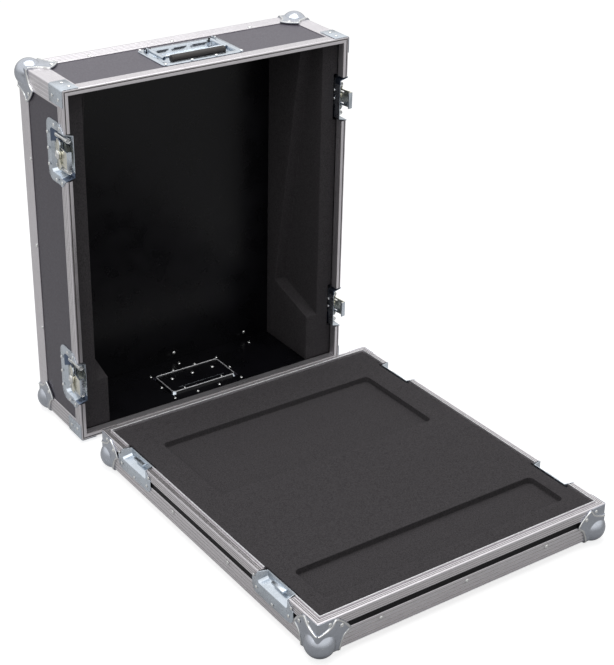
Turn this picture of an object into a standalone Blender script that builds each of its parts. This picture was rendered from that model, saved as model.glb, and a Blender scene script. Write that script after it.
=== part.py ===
"""Mixer flight case: a foam-lined tray with its deep cover standing behind it.

The model is in metres with +Z up. The tray lies flat, its long side along Y.
The cover stands on its bottom end with its opening towards the tray. It rests
on the balls of its back corners and on the grip of its bottom handle, which
stands out less than they do, so it leans forward a little.

Each half has a frame of its own, an empty at one corner. In the cover's frame
X runs across, Y from the opening to the end panel and Z up the long side. In
the tray's frame X runs across, Y towards the cover and Z up from its base.
"""

import math

import bmesh
import bpy
from mathutils import Matrix, Vector

mm = 0.001

# Overall sizes
WIDTH = 520 * mm
LENGTH = 604 * mm
COVER_DEPTH = 154 * mm
TRAY_HEIGHT = 55 * mm
STANDING_GAP = 77.3 * mm

# Gaps, and how far a cutter runs past what it cuts
CLEAR = 0.3 * mm
CLOSED_GAP = 0.4 * mm
LIP_GAP = 0.6 * mm
FOAM_RELIEF = 2.5 * mm
SPARE = 5 * mm

# Boards and foam
COVER_BOARD = 6.5 * mm
TRAY_BOARD = 8.9 * mm
BASE_BOARD = 6.5 * mm
SIDE_FOAM = 52.7 * mm
SIDE_FOAM_RECESS = 21.5 * mm
SIDE_FOAM_FRONT = 16.5 * mm
TRAY_FOAM_BELOW_RIM = 1.0 * mm
TRAY_RECESS_DEPTH = 10 * mm
TRAY_RECESS_RADIUS = 8 * mm
FAR_RECESS_X = (60 * mm, 461 * mm)
FAR_RECESS_Y = (89 * mm, 266 * mm)
NEAR_RECESS_X = (42 * mm, 478 * mm)
NEAR_RECESS_Y = (485 * mm, 560 * mm)
MIXER_FRONT_LOW = 93 * mm
MIXER_BACK_LOW = (119 * mm, 127 * mm)
MIXER_BACK_HIGH = 46 * mm

# Aluminium profiles
PROFILE = 1.2 * mm
EDGE_LEG = 31 * mm
TRAY_EDGE_LEG = 30 * mm
EDGE_RADIUS = 2.5 * mm
COVER_CLOSING_LEG = 19.5 * mm
COVER_CLOSING_INNER_LEG = 14 * mm
CLOSING_FACE = 2.5 * mm
GROOVE_IN = 2.2 * mm
GROOVE_WIDTH = 1.8 * mm
GROOVE_DEPTH = 1.6 * mm
TRAY_CLOSING_LEG = 15 * mm
TRAY_CLOSING_INNER_LEG = 10 * mm
LIP_HEIGHT = 3 * mm
LIP_WIDTH = 1.8 * mm

# Steel ball corners and braces
BALL_RADIUS = 22.5 * mm
BALL_OUT = 9.6 * mm
CORNER_PLATE = 1.8 * mm
CORNER_REACH = 62 * mm
CORNER_NECK = 37 * mm
CORNER_WAIST = (44 * mm, 22 * mm)
CORNER_EAR_ANGLE = 30
BRACE_SHEET = 1.0 * mm
BRACE_DEEP = 44 * mm
BRACE_WIDE = 27 * mm

# Latches
LATCH_FROM_END = 106.5 * mm
LATCH_SHEET = 1.1 * mm
LATCH_PAN_DEEP = 13.3 * mm
LATCH_PAN_HALF = 38 * mm
LATCH_PAN_BACK = 52 * mm
LATCH_DRAFT = 4 * mm
LATCH_BACK_DRAFT = 8 * mm
LATCH_CHAMFER = 8 * mm
LATCH_FLANGE_HALF = 51 * mm
LATCH_FLANGE_BACK = 62.5 * mm
LATCH_FLANGE_RADIUS = 15 * mm
FLANGE_NOSE_OVER = 0.5 * mm
FLANGE_START = 0.5 * mm
FLANGE_NOSE = 3.6 * mm
FLANGE_FULL = 15 * mm
PIN_RADIUS = 1.3 * mm
PIN_IN = 9.5 * mm
PIN_BACK = 38 * mm
ARM_HALF = 14 * mm
ARM_SHEET = 2 * mm
ARM_TOP_IN = 3.2 * mm
ARM_TIP_OUT = 12 * mm
ARM_TAIL = 6 * mm
HOOK_DEEP = 7.8 * mm
BARREL_RADIUS = 3 * mm
KNUCKLE_HALF = 2.4 * mm
ARM_OPEN = math.radians(8)
EAR_SHEET = 1.5 * mm
EAR_GAP = 2.5 * mm
EAR_BEFORE = 5 * mm
EAR_BEHIND = 4 * mm
WING_BACK = 22 * mm
WING_HALF = 24 * mm
WING_TIP_HALF = 9 * mm
WING_TIP_CUT = (3 * mm, 6 * mm)
WING_WAIST = (4 * mm, 6.5 * mm)
WING_HUB_RADIUS = 7.5 * mm
WING_SHEET = 2 * mm
POST_RADIUS = 4 * mm
CAM_RADIUS = 7 * mm
KEEPER_PAN_LOW = 18.6 * mm
KEEPER_PAN_CHAMFER = 3 * mm
KEEPER_LOW_DRAFT = 5 * mm
KEEPER_FLANGE_LOW = 37.5 * mm
KEEPER_FLANGE_RADIUS = 13 * mm
LUG_TOP = 5.9 * mm
LUG_SHEET = 3.0 * mm
LUG_IN = 6.0 * mm

# Handles
HANDLE_LONG = 148 * mm
HANDLE_FROM_CLOSING = 4.3 * mm
HANDLE_FROM_EDGE = 9.2 * mm
HANDLE_FLANGE_RADIUS = 8 * mm
HANDLE_PAN_INSET = (7 * mm, 9 * mm)
HANDLE_PAN_RADIUS = 6 * mm
HANDLE_PAN_SHIFT = 2.5 * mm
HANDLE_PAN_DEEP = 9.8 * mm
HANDLE_DRAFT = 4 * mm
HANDLE_SHEET = 1.1 * mm
HANDLE_EAR = 2 * mm
HANDLE_EAR_BEFORE = 5 * mm
HANDLE_EAR_BEHIND = 3.5 * mm
HANDLE_EAR_OVER = 4.2 * mm
BAIL_RADIUS = 3 * mm
BAIL_FROM_SIDE = 10 * mm
BAIL_FROM_BACK = 5 * mm
BAIL_FROM_FRONT = 11.5 * mm
BAIL_OUT = 1 * mm
BAIL_BEND = 7 * mm
STUB_RADIUS = 2.2 * mm
GRIP_SHORTER = 8 * mm
GRIP_DEEP = 14 * mm
GRIP_THICK = 13 * mm
GRIP_ROUND = 6 * mm

# Places that follow from the sizes
SKIN = PROFILE + CLEAR
COVER_INSIDE = SKIN + COVER_BOARD + CLEAR
TRAY_WALL_IN = SKIN + TRAY_BOARD
CLOSING_INNER = COVER_INSIDE + PROFILE
LIP_OUTER = CLOSING_INNER + LIP_GAP
TRAY_CLOSING_INNER = max(LIP_OUTER + LIP_WIDTH, TRAY_WALL_IN + CLEAR + PROFILE)
TRAY_FLOOR = SKIN + BASE_BOARD + CLEAR
TRAY_FOAM_IN = TRAY_CLOSING_INNER + CLEAR
BALL_IN = BALL_RADIUS - BALL_OUT
FOLD_RADIUS = EDGE_RADIUS + CLEAR
PANEL_FRONT = CLOSING_FACE + CLEAR
LATCH_PLACES = (LATCH_FROM_END, LENGTH - LATCH_FROM_END)
LATCH_NOTCH = LATCH_PAN_HALF + CLEAR
LATCH_FLOOR_OUT = LATCH_PAN_DEEP + LATCH_SHEET
PAN_FRONT = 0.7 * CLEAR
HANDLE_WIDE = COVER_DEPTH - COVER_CLOSING_LEG - EDGE_LEG - HANDLE_FROM_CLOSING - HANDLE_FROM_EDGE
HANDLE_FROM_OPENING = COVER_CLOSING_LEG + HANDLE_FROM_CLOSING + HANDLE_WIDE / 2
HANDLE_PAN = (HANDLE_LONG - 2 * HANDLE_PAN_INSET[0], HANDLE_WIDE - 2 * HANDLE_PAN_INSET[1])
BAIL_HALF = HANDLE_PAN[0] / 2 - BAIL_FROM_SIDE
BAIL_PIVOT_BEHIND = HANDLE_PAN_SHIFT + HANDLE_PAN[1] / 2 - BAIL_FROM_BACK
BAIL_REACH = HANDLE_PAN[1] - BAIL_FROM_BACK - BAIL_FROM_FRONT
GRIP_HALF = BAIL_HALF - GRIP_SHORTER

# What the cover stands on, in its own Y and Z: the middles of a back ball and of the grip's lower edge
STANDS_ON_BALL = Vector((COVER_DEPTH - BALL_IN, BALL_IN))
STANDS_ON_GRIP = Vector((
    HANDLE_FROM_OPENING + BAIL_PIVOT_BEHIND - BAIL_REACH - GRIP_DEEP / 2 + GRIP_ROUND,
    GRIP_ROUND - GRIP_THICK / 2 - BAIL_OUT,
))
STANCE = STANDS_ON_BALL - STANDS_ON_GRIP
LEAN = math.asin((BALL_RADIUS - GRIP_ROUND) / STANCE.length) - math.atan2(STANCE.y, STANCE.x)
COVER_RISE = BALL_RADIUS - STANDS_ON_BALL.x * math.sin(LEAN) - STANDS_ON_BALL.y * math.cos(LEAN)
BALL_BACK = STANDS_ON_BALL.x * math.cos(LEAN) - STANDS_ON_BALL.y * math.sin(LEAN) + BALL_RADIUS
TRAY_NEAR = -STANDING_GAP - LENGTH - BALL_OUT
MIDDLE_Y = (BALL_BACK + TRAY_NEAR) / 2

# Where the cover's corner stands, where it comes to when the case is shut, and the point both turn about
COVER_STANDS = Vector((-MIDDLE_Y, COVER_RISE))
COVER_SHUT = Vector((-STANDING_GAP - MIDDLE_Y, BALL_OUT + TRAY_HEIGHT + CLOSED_GAP))
COVER_TURN = math.pi / 2 - LEAN
SHIFT = COVER_SHUT - COVER_STANDS
COVER_AXIS = (COVER_STANDS + COVER_SHUT) / 2 + Vector((-SHIFT.y, SHIFT.x)) / (2 * math.tan(COVER_TURN / 2))

ROUND_SIDES = 24
SMALL_SIDES = 12


# Scene and materials

def clear_scene():
    for obj in list(bpy.data.objects):
        bpy.data.objects.remove(obj, do_unlink=True)


def new_collection(name):
    collection = bpy.data.collections.new(name)
    bpy.context.scene.collection.children.link(collection)
    return collection


def new_material(name, colour, roughness, metallic):
    material = bpy.data.materials.new(name)
    material.use_nodes = True
    material.diffuse_color = (*colour, 1)
    shader = material.node_tree.nodes["Principled BSDF"]
    shader.inputs["Base Color"].default_value = (*colour, 1)
    shader.inputs["Roughness"].default_value = roughness
    shader.inputs["Metallic"].default_value = metallic
    return material


clear_scene()
CASE = new_collection("mixer_flight_case")
WORKBENCH = new_collection("workbench")
LAMINATE = new_material("laminate", (0.045, 0.042, 0.043), 0.45, 0)
PROFILE_METAL = new_material("satin_aluminium", (0.62, 0.61, 0.62), 0.38, 1)
STEEL = new_material("zinc_plated_steel", (0.55, 0.58, 0.63), 0.28, 1)
FOAM = new_material("grey_foam", (0.055, 0.052, 0.055), 0.95, 0)
GRIP = new_material("moulded_rubber", (0.05, 0.045, 0.045), 0.6, 0)


# Shapes on the workbench

def on_bench(mesh):
    obj = bpy.data.objects.new(mesh.name, mesh)
    WORKBENCH.objects.link(obj)
    return obj


def bench_shape(name, bm):
    bmesh.ops.recalc_face_normals(bm, faces=bm.faces)
    mesh = bpy.data.meshes.new(name)
    bm.to_mesh(mesh)
    bm.free()
    return on_bench(mesh)


def block(low, high, radius=0, segments=3):
    """A box between two corners, its edges rounded where a radius is given."""
    bm = bmesh.new()
    bmesh.ops.create_cube(bm, size=1)
    low, high = Vector(low), Vector(high)
    bmesh.ops.scale(bm, vec=high - low, verts=bm.verts)
    bmesh.ops.translate(bm, vec=(low + high) / 2, verts=bm.verts)
    if radius:
        bmesh.ops.bevel(bm, geom=bm.edges[:], offset=radius, segments=segments, profile=0.5, affect="EDGES")
    return bench_shape("block", bm)


def rod(start, end, radius, sides=SMALL_SIDES):
    """A round bar from one point to another."""
    start, end = Vector(start), Vector(end)
    along = end - start
    place = Matrix.Translation((start + end) / 2) @ along.to_track_quat("Z", "Y").to_matrix().to_4x4()
    bm = bmesh.new()
    bmesh.ops.create_cone(
        bm, cap_ends=True, segments=sides, radius1=radius, radius2=radius, depth=along.length, matrix=place
    )
    return bench_shape("rod", bm)


def globe(centre, radius):
    bm = bmesh.new()
    bmesh.ops.create_uvsphere(
        bm, u_segments=ROUND_SIDES, v_segments=ROUND_SIDES // 2,
        radius=radius, matrix=Matrix.Translation(centre)
    )
    return bench_shape("globe", bm)


# Each turn lays a flat outline square to one axis
LAID = {
    "X": Matrix(((0, 0, 1), (1, 0, 0), (0, 1, 0))).to_4x4(),
    "Y": Matrix(((1, 0, 0), (0, 0, -1), (0, 1, 0))).to_4x4(),
    "Z": Matrix.Identity(4),
}
UNIT = {"X": Vector((1, 0, 0)), "Y": Vector((0, 1, 0)), "Z": Vector((0, 0, 1))}


def from_curve(curve, place):
    """The mesh of a curve object, its caps welded on."""
    guide = bpy.data.objects.new("guide", curve)
    WORKBENCH.objects.link(guide)
    bpy.context.view_layer.update()
    ready = guide.evaluated_get(bpy.context.evaluated_depsgraph_get())
    mesh = bpy.data.meshes.new_from_object(ready)
    bpy.data.objects.remove(guide)
    bm = bmesh.new()
    bm.from_mesh(mesh)
    bpy.data.meshes.remove(mesh)
    bmesh.ops.remove_doubles(bm, verts=bm.verts, dist=1e-6)
    bmesh.ops.transform(bm, matrix=place, verts=bm.verts)
    return bench_shape("form", bm)


def slab(outline, axis, low, high, holes=()):
    """A flat outline, with any holes, given its thickness along one axis.

    The outline's two values are Y and Z for axis X, X and Z for Y, X and Y for Z.
    """
    curve = bpy.data.curves.new("outline", "CURVE")
    curve.dimensions = "2D"
    curve.fill_mode = "BOTH"
    curve.extrude = (high - low) / 2
    for points in (outline, *holes):
        spline = curve.splines.new("POLY")
        spline.points.add(len(points) - 1)
        for point, (a, b) in zip(spline.points, points):
            point.co = (a, b, 0, 1)
        spline.use_cyclic_u = True
    return from_curve(curve, Matrix.Translation(UNIT[axis] * (low + high) / 2) @ LAID[axis])


def tapered(outline, far_outline, axis, low, high):
    """A slab whose outline changes to another of as many points at its high end."""
    obj = slab(outline, axis, low, high)
    index = "XYZ".index(axis)
    flat = [i for i in range(3) if i != index]
    for vertex in obj.data.vertices:
        if vertex.co[index] > (low + high) / 2:
            here = [vertex.co[i] for i in flat]
            near = min(range(len(outline)), key=lambda k: math.dist(outline[k], here))
            vertex.co[flat[0]], vertex.co[flat[1]] = far_outline[near]
    return obj


def arc(centre, radius, start, end, steps):
    """Points on a circle from one angle to another, in degrees."""
    angles = [math.radians(start + (end - start) * k / steps) for k in range(steps + 1)]
    return [(centre[0] + radius * math.cos(a), centre[1] + radius * math.sin(a)) for a in angles]


def rectangle(a0, b0, a1, b1):
    return [(a0, b0), (a1, b0), (a1, b1), (a0, b1)]


def rounded(a0, b0, a1, b1, radius, steps=3):
    r = radius
    return (
        arc((a0 + r, b0 + r), r, 180, 270, steps)
        + arc((a1 - r, b0 + r), r, 270, 360, steps)
        + arc((a1 - r, b1 - r), r, 0, 90, steps)
        + arc((a0 + r, b1 - r), r, 90, 180, steps)
    )


# Booleans, each settled into the mesh at once

def settle(obj):
    bpy.context.view_layer.update()
    ready = obj.evaluated_get(bpy.context.evaluated_depsgraph_get())
    mesh = bpy.data.meshes.new_from_object(ready)
    obj.modifiers.clear()
    obj.data = mesh


def combine(base, others, operation):
    for other in others:
        other.hide_render = True
        other.display_type = "WIRE"
        modifier = base.modifiers.new("combine", "BOOLEAN")
        modifier.operation = operation
        modifier.object = other
        settle(base)
        bpy.data.objects.remove(other)
    return base


def joined(base, *others):
    return combine(base, others, "UNION")


def cut(base, *others):
    return combine(base, others, "DIFFERENCE")


def common(base, *others):
    return combine(base, others, "INTERSECT")


def bench_copy(obj):
    return on_bench(obj.data.copy())


# Placing

def new_frame(name, location, parent=None, turn=(0, 0, 0)):
    frame = bpy.data.objects.new(name, None)
    frame.empty_display_size = 20 * mm
    CASE.objects.link(frame)
    frame.parent = parent
    frame.location = location
    frame.rotation_euler = turn
    return frame


def place(obj, name, material, frame, location=(0, 0, 0), turn=(0, 0, 0)):
    """Puts a finished piece in its frame, under its own name."""
    bm = bmesh.new()
    bm.from_mesh(obj.data)
    bmesh.ops.dissolve_limit(
        bm, angle_limit=math.radians(0.05), use_dissolve_boundaries=False, verts=bm.verts, edges=bm.edges
    )
    bm.to_mesh(obj.data)
    bm.free()
    WORKBENCH.objects.unlink(obj)
    CASE.objects.link(obj)
    obj.name = name
    obj.data.name = name
    obj.data.materials.clear()
    obj.data.materials.append(material)
    obj.data.shade_smooth()
    obj.data.set_sharp_from_angle(angle=math.radians(30))
    obj.parent = frame
    obj.location = location
    obj.rotation_euler = turn
    return obj


def twin(obj, name, frame, location=(0, 0, 0), turn=(0, 0, 0)):
    """A second piece like the first, on its own place."""
    copy = bpy.data.objects.new(name, obj.data)
    CASE.objects.link(copy)
    copy.parent = frame
    copy.location = location
    copy.rotation_euler = turn
    return copy


def facing(first, second, run):
    """The turn that lays a piece's X, Y and Z along three directions.

    The first two change places where the three would be a mirror image.
    """
    columns = [Vector(first), Vector(second), Vector(run)]
    if columns[0].cross(columns[1]).dot(columns[2]) < 0:
        columns[0], columns[1] = columns[1], columns[0]
    return Matrix(columns).transposed().to_euler()


TRAY_FRAME = new_frame("tray_frame", (-WIDTH / 2, -STANDING_GAP - MIDDLE_Y, BALL_OUT))
COVER_HINGE = new_frame("cover_hinge", (0, COVER_AXIS.x, COVER_AXIS.y))
COVER_FRAME = new_frame(
    "cover_frame",
    (-WIDTH / 2, COVER_STANDS.x - COVER_AXIS.x, COVER_STANDS.y - COVER_AXIS.y),
    COVER_HINGE,
    (LEAN, 0, 0),
)

# Half a turn about the middle of each half of the case carries a piece to its partner's place
COVER_PARTNER = ((WIDTH, 0, LENGTH), (0, math.pi, 0))
TRAY_PARTNER = ((WIDTH, -LENGTH, 0), (0, 0, math.pi))


# Pieces used on both halves

def edge_angle(length):
    """An L-shaped length with a rounded outer corner, running up Z from its corner at zero."""
    outline = (
        arc((EDGE_RADIUS, EDGE_RADIUS), EDGE_RADIUS, 270, 180, 3)
        + [(0, EDGE_LEG), (PROFILE, EDGE_LEG), (PROFILE, PROFILE), (EDGE_LEG, PROFILE), (EDGE_LEG, 0)]
    )
    return slab(outline, "Z", 0, length)


def folded(sheet, wide, inside=None):
    """The outline of a sheet folded round the edge angle, in X and Y, or filled up to a place inside it."""
    middle = (EDGE_RADIUS, EDGE_RADIUS)
    low = -CLEAR - sheet
    outside = arc(middle, FOLD_RADIUS + sheet, 270, 180, 3) + [(low, wide)]
    if inside is None:
        back = [(-CLEAR, wide)] + arc(middle, FOLD_RADIUS, 180, 270, 3) + [(wide, -CLEAR)]
        return outside + back + [(wide, low)]
    return outside + [(inside, wide), (inside, inside), (wide, inside), (wide, low)]


def ball_corner(height=None):
    """Three ears meeting at a corner, with a hollow ball pressed out over it.

    The case's corner lies at zero and the case fills X, Y and Z above it. On a half of a given
    height the ears stop at its rim, and a brace fills the notch above them on the upright edge.
    """
    outer = -CLEAR - CORNER_PLATE
    before = 2 * outer
    far = CORNER_REACH + BALL_RADIUS
    ear = [(before, before), (CORNER_NECK, before), CORNER_WAIST]
    ear += arc((0, 0), CORNER_REACH, CORNER_EAR_ANGLE, 90 - CORNER_EAR_ANGLE, 5)
    ear += [CORNER_WAIST[::-1], (before, CORNER_NECK)]
    corner = slab(ear, "X", before, EDGE_RADIUS)
    joined(corner, slab(ear, "Y", before, EDGE_RADIUS), slab(ear, "Z", before, EDGE_RADIUS))
    common(corner, block((outer,) * 3, (far,) * 3, FOLD_RADIUS + CORNER_PLATE))
    if height is not None:
        joined(corner, slab(folded(BRACE_SHEET, BRACE_WIDE, EDGE_RADIUS), "Z", CORNER_NECK - SPARE, far))
        cut(corner, block((before, before, height), (far, far, far + SPARE)))
    centre = (BALL_IN,) * 3
    joined(corner, globe(centre, BALL_RADIUS))
    return cut(
        corner,
        block((-CLEAR,) * 3, (far,) * 3, FOLD_RADIUS),
        globe(centre, BALL_RADIUS - CORNER_PLATE),
    )


def opening_ring(axis, face, outer, inner, low, high, radius=0):
    """A ring round a half's opening, between two insets from its outside and two heights from its face."""
    if axis == "Z":
        low_end, high_end = -LENGTH, 0
    else:
        low_end, high_end = 0, LENGTH
    edge = (outer, low_end + outer, WIDTH - outer, high_end - outer)
    hole = rectangle(inner, low_end + inner, WIDTH - inner, high_end - inner)
    return slab(rounded(*edge, radius) if radius else rectangle(*edge), axis, face + low, face + high, [hole])


# The cover

def cover_end_panel():
    outline = rectangle(SKIN, SKIN, WIDTH - SKIN, LENGTH - SKIN)
    back = COVER_DEPTH - SKIN
    place(slab(outline, "Y", back - COVER_BOARD, back), "cover_end_panel", LAMINATE, COVER_FRAME)


def latch_cutout(middle):
    """The notch that a latch dish needs in a side wall, open to the front."""
    half = LATCH_PAN_HALF + 2 * CLEAR
    back = LATCH_PAN_BACK + 2 * CLEAR
    step = LATCH_CHAMFER / 2
    return [
        (PANEL_FRONT, middle - half), (back - step, middle - half), (back, middle - half + step),
        (back, middle + half - step), (back - step, middle + half), (PANEL_FRONT, middle + half),
    ]


def cover_side_walls():
    low, high = COVER_INSIDE, LENGTH - COVER_INSIDE
    back = COVER_DEPTH - COVER_INSIDE
    outline = [(PANEL_FRONT, low)]
    for middle in LATCH_PLACES:
        outline += latch_cutout(middle)
    outline += [(PANEL_FRONT, high), (back, high), (back, low)]
    wall = slab(outline, "X", SKIN, SKIN + COVER_BOARD)
    place(wall, "cover_wall_left", LAMINATE, COVER_FRAME)
    twin(wall, "cover_wall_right", COVER_FRAME, *COVER_PARTNER)


def cover_end_walls():
    outline = rectangle(SKIN, PANEL_FRONT, WIDTH - SKIN, COVER_DEPTH - COVER_INSIDE)
    half_x, half_y = HANDLE_PAN[0] / 2 + 2 * CLEAR, HANDLE_PAN[1] / 2 + 2 * CLEAR
    middle = HANDLE_FROM_OPENING + HANDLE_PAN_SHIFT
    hole = rounded(
        WIDTH / 2 - half_x, middle - half_y, WIDTH / 2 + half_x, middle + half_y, HANDLE_PAN_RADIUS
    )
    wall = slab(outline, "Z", LENGTH - SKIN - COVER_BOARD, LENGTH - SKIN, [hole])
    place(wall, "cover_wall_top", LAMINATE, COVER_FRAME)
    twin(wall, "cover_wall_bottom", COVER_FRAME, *COVER_PARTNER)


def cover_edges():
    """Two upright lengths at the back, two across it, and four running to the opening."""
    start = EDGE_LEG + CLEAR
    upright = edge_angle(LENGTH - 2 * BALL_IN)
    place(
        upright, "cover_edge_back_left", PROFILE_METAL, COVER_FRAME,
        (0, COVER_DEPTH, BALL_IN), facing((1, 0, 0), (0, -1, 0), (0, 0, 1)),
    )
    twin(
        upright, "cover_edge_back_right", COVER_FRAME,
        (WIDTH, COVER_DEPTH, BALL_IN), facing((-1, 0, 0), (0, -1, 0), (0, 0, 1)),
    )
    across = edge_angle(WIDTH - 2 * start)
    place(
        across, "cover_edge_back_bottom", PROFILE_METAL, COVER_FRAME,
        (start, COVER_DEPTH, 0), facing((0, -1, 0), (0, 0, 1), (1, 0, 0)),
    )
    twin(
        across, "cover_edge_back_top", COVER_FRAME,
        (start, COVER_DEPTH, LENGTH), facing((0, -1, 0), (0, 0, -1), (1, 0, 0)),
    )
    front = COVER_CLOSING_LEG + CLEAR
    runner = edge_angle(COVER_DEPTH - start - front)
    corners = {
        "bottom_left": ((0, front, 0), (1, 0, 0), (0, 0, 1)),
        "bottom_right": ((WIDTH, front, 0), (-1, 0, 0), (0, 0, 1)),
        "top_left": ((0, front, LENGTH), (1, 0, 0), (0, 0, -1)),
        "top_right": ((WIDTH, front, LENGTH), (-1, 0, 0), (0, 0, -1)),
    }
    for name, (corner, inwards, upwards) in corners.items():
        turn = facing(inwards, upwards, (0, 1, 0))
        if runner.parent is None:
            place(runner, "cover_edge_" + name, PROFILE_METAL, COVER_FRAME, corner, turn)
        else:
            twin(runner, "cover_edge_" + name, COVER_FRAME, corner, turn)


def cover_closing():
    """The grooved profile round the opening, in lengths between the latches."""
    end = COVER_CLOSING_LEG + SPARE
    ring = opening_ring("Y", 0, 0, CLOSING_INNER, 0, COVER_CLOSING_LEG, EDGE_RADIUS)
    cut(
        ring,
        opening_ring("Y", 0, PROFILE, COVER_INSIDE, CLOSING_FACE, end),
        opening_ring("Y", 0, COVER_INSIDE / 2, CLOSING_INNER + SPARE, COVER_CLOSING_INNER_LEG, end),
        opening_ring("Y", 0, GROOVE_IN, GROOVE_IN + GROOVE_WIDTH, -GROOVE_DEPTH, GROOVE_DEPTH),
    )
    low, high = LATCH_PLACES[0] + LATCH_NOTCH, LATCH_PLACES[1] - LATCH_NOTCH
    top = common(
        bench_copy(ring),
        block((-SPARE, -SPARE, LATCH_PLACES[1] + LATCH_NOTCH), (WIDTH + SPARE, COVER_DEPTH, LENGTH + SPARE)),
    )
    left = common(ring, block((-SPARE, -SPARE, low), (WIDTH / 2, COVER_DEPTH, high)))
    place(top, "cover_closing_top", PROFILE_METAL, COVER_FRAME)
    twin(top, "cover_closing_bottom", COVER_FRAME, *COVER_PARTNER)
    place(left, "cover_closing_left", PROFILE_METAL, COVER_FRAME)
    twin(left, "cover_closing_right", COVER_FRAME, *COVER_PARTNER)


def cover_corners():
    ball = ball_corner()
    brace = slab(folded(BRACE_SHEET, BRACE_WIDE), "Z", 0, BRACE_DEEP)
    places = {
        "bottom_left": (0, 0, 1, 1),
        "bottom_right": (WIDTH, 0, -1, 1),
        "top_left": (0, LENGTH, 1, -1),
        "top_right": (WIDTH, LENGTH, -1, -1),
    }
    for name, (x, z, inwards, upwards) in places.items():
        back = (x, COVER_DEPTH, z), facing((inwards, 0, 0), (0, -1, 0), (0, 0, upwards))
        front = (x, 0, z), facing((inwards, 0, 0), (0, 0, upwards), (0, 1, 0))
        if ball.parent is None:
            place(ball, "cover_ball_" + name, STEEL, COVER_FRAME, *back)
            place(brace, "cover_brace_" + name, STEEL, COVER_FRAME, *front)
        else:
            twin(ball, "cover_ball_" + name, COVER_FRAME, *back)
            twin(brace, "cover_brace_" + name, COVER_FRAME, *front)


def side_foam(name, outer, inner):
    """One side foam, with the mixer's side cut into its inner face, open to the front and the top."""
    low, high = COVER_INSIDE, LENGTH - COVER_INSIDE
    back = COVER_DEPTH - COVER_INSIDE
    sign = 1 if inner > outer else -1
    span = sorted((outer, inner))
    foam = slab(rectangle(SIDE_FOAM_FRONT, low, back, high), "X", *span)
    recess = [
        (SIDE_FOAM_FRONT - SPARE, MIXER_FRONT_LOW), MIXER_BACK_LOW,
        (MIXER_BACK_HIGH, high + SPARE), (SIDE_FOAM_FRONT - SPARE, high + SPARE),
    ]
    cut(foam, slab(recess, "X", *sorted((inner - sign * SIDE_FOAM_RECESS, inner + sign * SPARE))))
    deep = outer + sign * (LATCH_FLOOR_OUT - COVER_INSIDE + 4 * CLEAR)
    half = LATCH_PAN_HALF + FOAM_RELIEF
    for middle in LATCH_PLACES:
        pocket = rectangle(0, middle - half, LATCH_PAN_BACK + FOAM_RELIEF, middle + half)
        cut(foam, slab(pocket, "X", *sorted((outer - sign * SPARE, deep))))
    place(foam, name, FOAM, COVER_FRAME)


# The latches, drawn for the left side with their middle at zero: X runs inwards and Y away from the rim

def flange_outline():
    """The outline of a latch dish's flange, from the rim back over its panel."""
    half, back, nose = LATCH_FLANGE_HALF, LATCH_FLANGE_BACK, LATCH_PAN_HALF + FLANGE_NOSE_OVER
    radius = LATCH_FLANGE_RADIUS
    side = [(FLANGE_START, nose), (FLANGE_NOSE, nose + FLANGE_NOSE_OVER), (FLANGE_FULL, half)]
    side += arc((back - radius, half - radius), radius, 90, 0, 4)
    return side + [(y, -z) for y, z in reversed(side)]


def pan_outline(shrink, draft, back_draft, front):
    """A latch pan's outline at one depth, drawn in by its sheet and its draft."""
    half = LATCH_PAN_HALF - shrink - draft
    back = LATCH_PAN_BACK - shrink - back_draft
    step = LATCH_CHAMFER / 2
    return [
        (front, -half), (back - step, -half), (back, -half + step),
        (back, half - step), (back - step, half), (front, half),
    ]


def latch_dish():
    """The recessed dish: its flange, its pan and the pin that the arm swings on."""
    over = -CLEAR - LATCH_SHEET
    front = PAN_FRONT
    upper = slab(flange_outline(), "X", PROFILE - LATCH_SHEET, PROFILE)
    step = COVER_CLOSING_LEG + CLEAR
    ends = LATCH_FLANGE_BACK + SPARE
    cut(upper, block((-ends, -ends, -ends), (ends, step, ends)))
    rim = slab(flange_outline(), "X", over, PROFILE)
    cut(rim, block((-ends, step + LATCH_SHEET, -ends), (ends, ends, ends)))
    cut(rim, block((-CLEAR, -ends, -ends), (ends, step, ends)))
    pan = tapered(
        pan_outline(0, 0, 0, front),
        pan_outline(0, LATCH_DRAFT, LATCH_BACK_DRAFT, front),
        "X", over, LATCH_FLOOR_OUT,
    )
    cut(pan, block((-ends, step, -ends), (PROFILE - LATCH_SHEET, ends, ends)))
    dish = joined(upper, rim, pan)
    hollow = tapered(
        pan_outline(LATCH_SHEET, 0, 0, -front),
        pan_outline(LATCH_SHEET, LATCH_DRAFT, LATCH_BACK_DRAFT, -front),
        "X", over - CLEAR, LATCH_PAN_DEEP,
    )
    cut(dish, hollow)
    ear_in = PIN_IN - BARREL_RADIUS
    for side in (-1, 1):
        near = ARM_HALF + EAR_GAP
        span = sorted((side * near, side * (near + EAR_SHEET)))
        joined(dish, block(
            (ear_in, PIN_BACK - EAR_BEFORE, span[0]),
            (LATCH_PAN_DEEP + LATCH_SHEET / 2, PIN_BACK + EAR_BEHIND, span[1]),
        ))
    reach = ARM_HALF + EAR_GAP + EAR_SHEET + CLEAR
    return joined(dish, rod((PIN_IN, PIN_BACK, -reach), (PIN_IN, PIN_BACK, reach), PIN_RADIUS))


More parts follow.
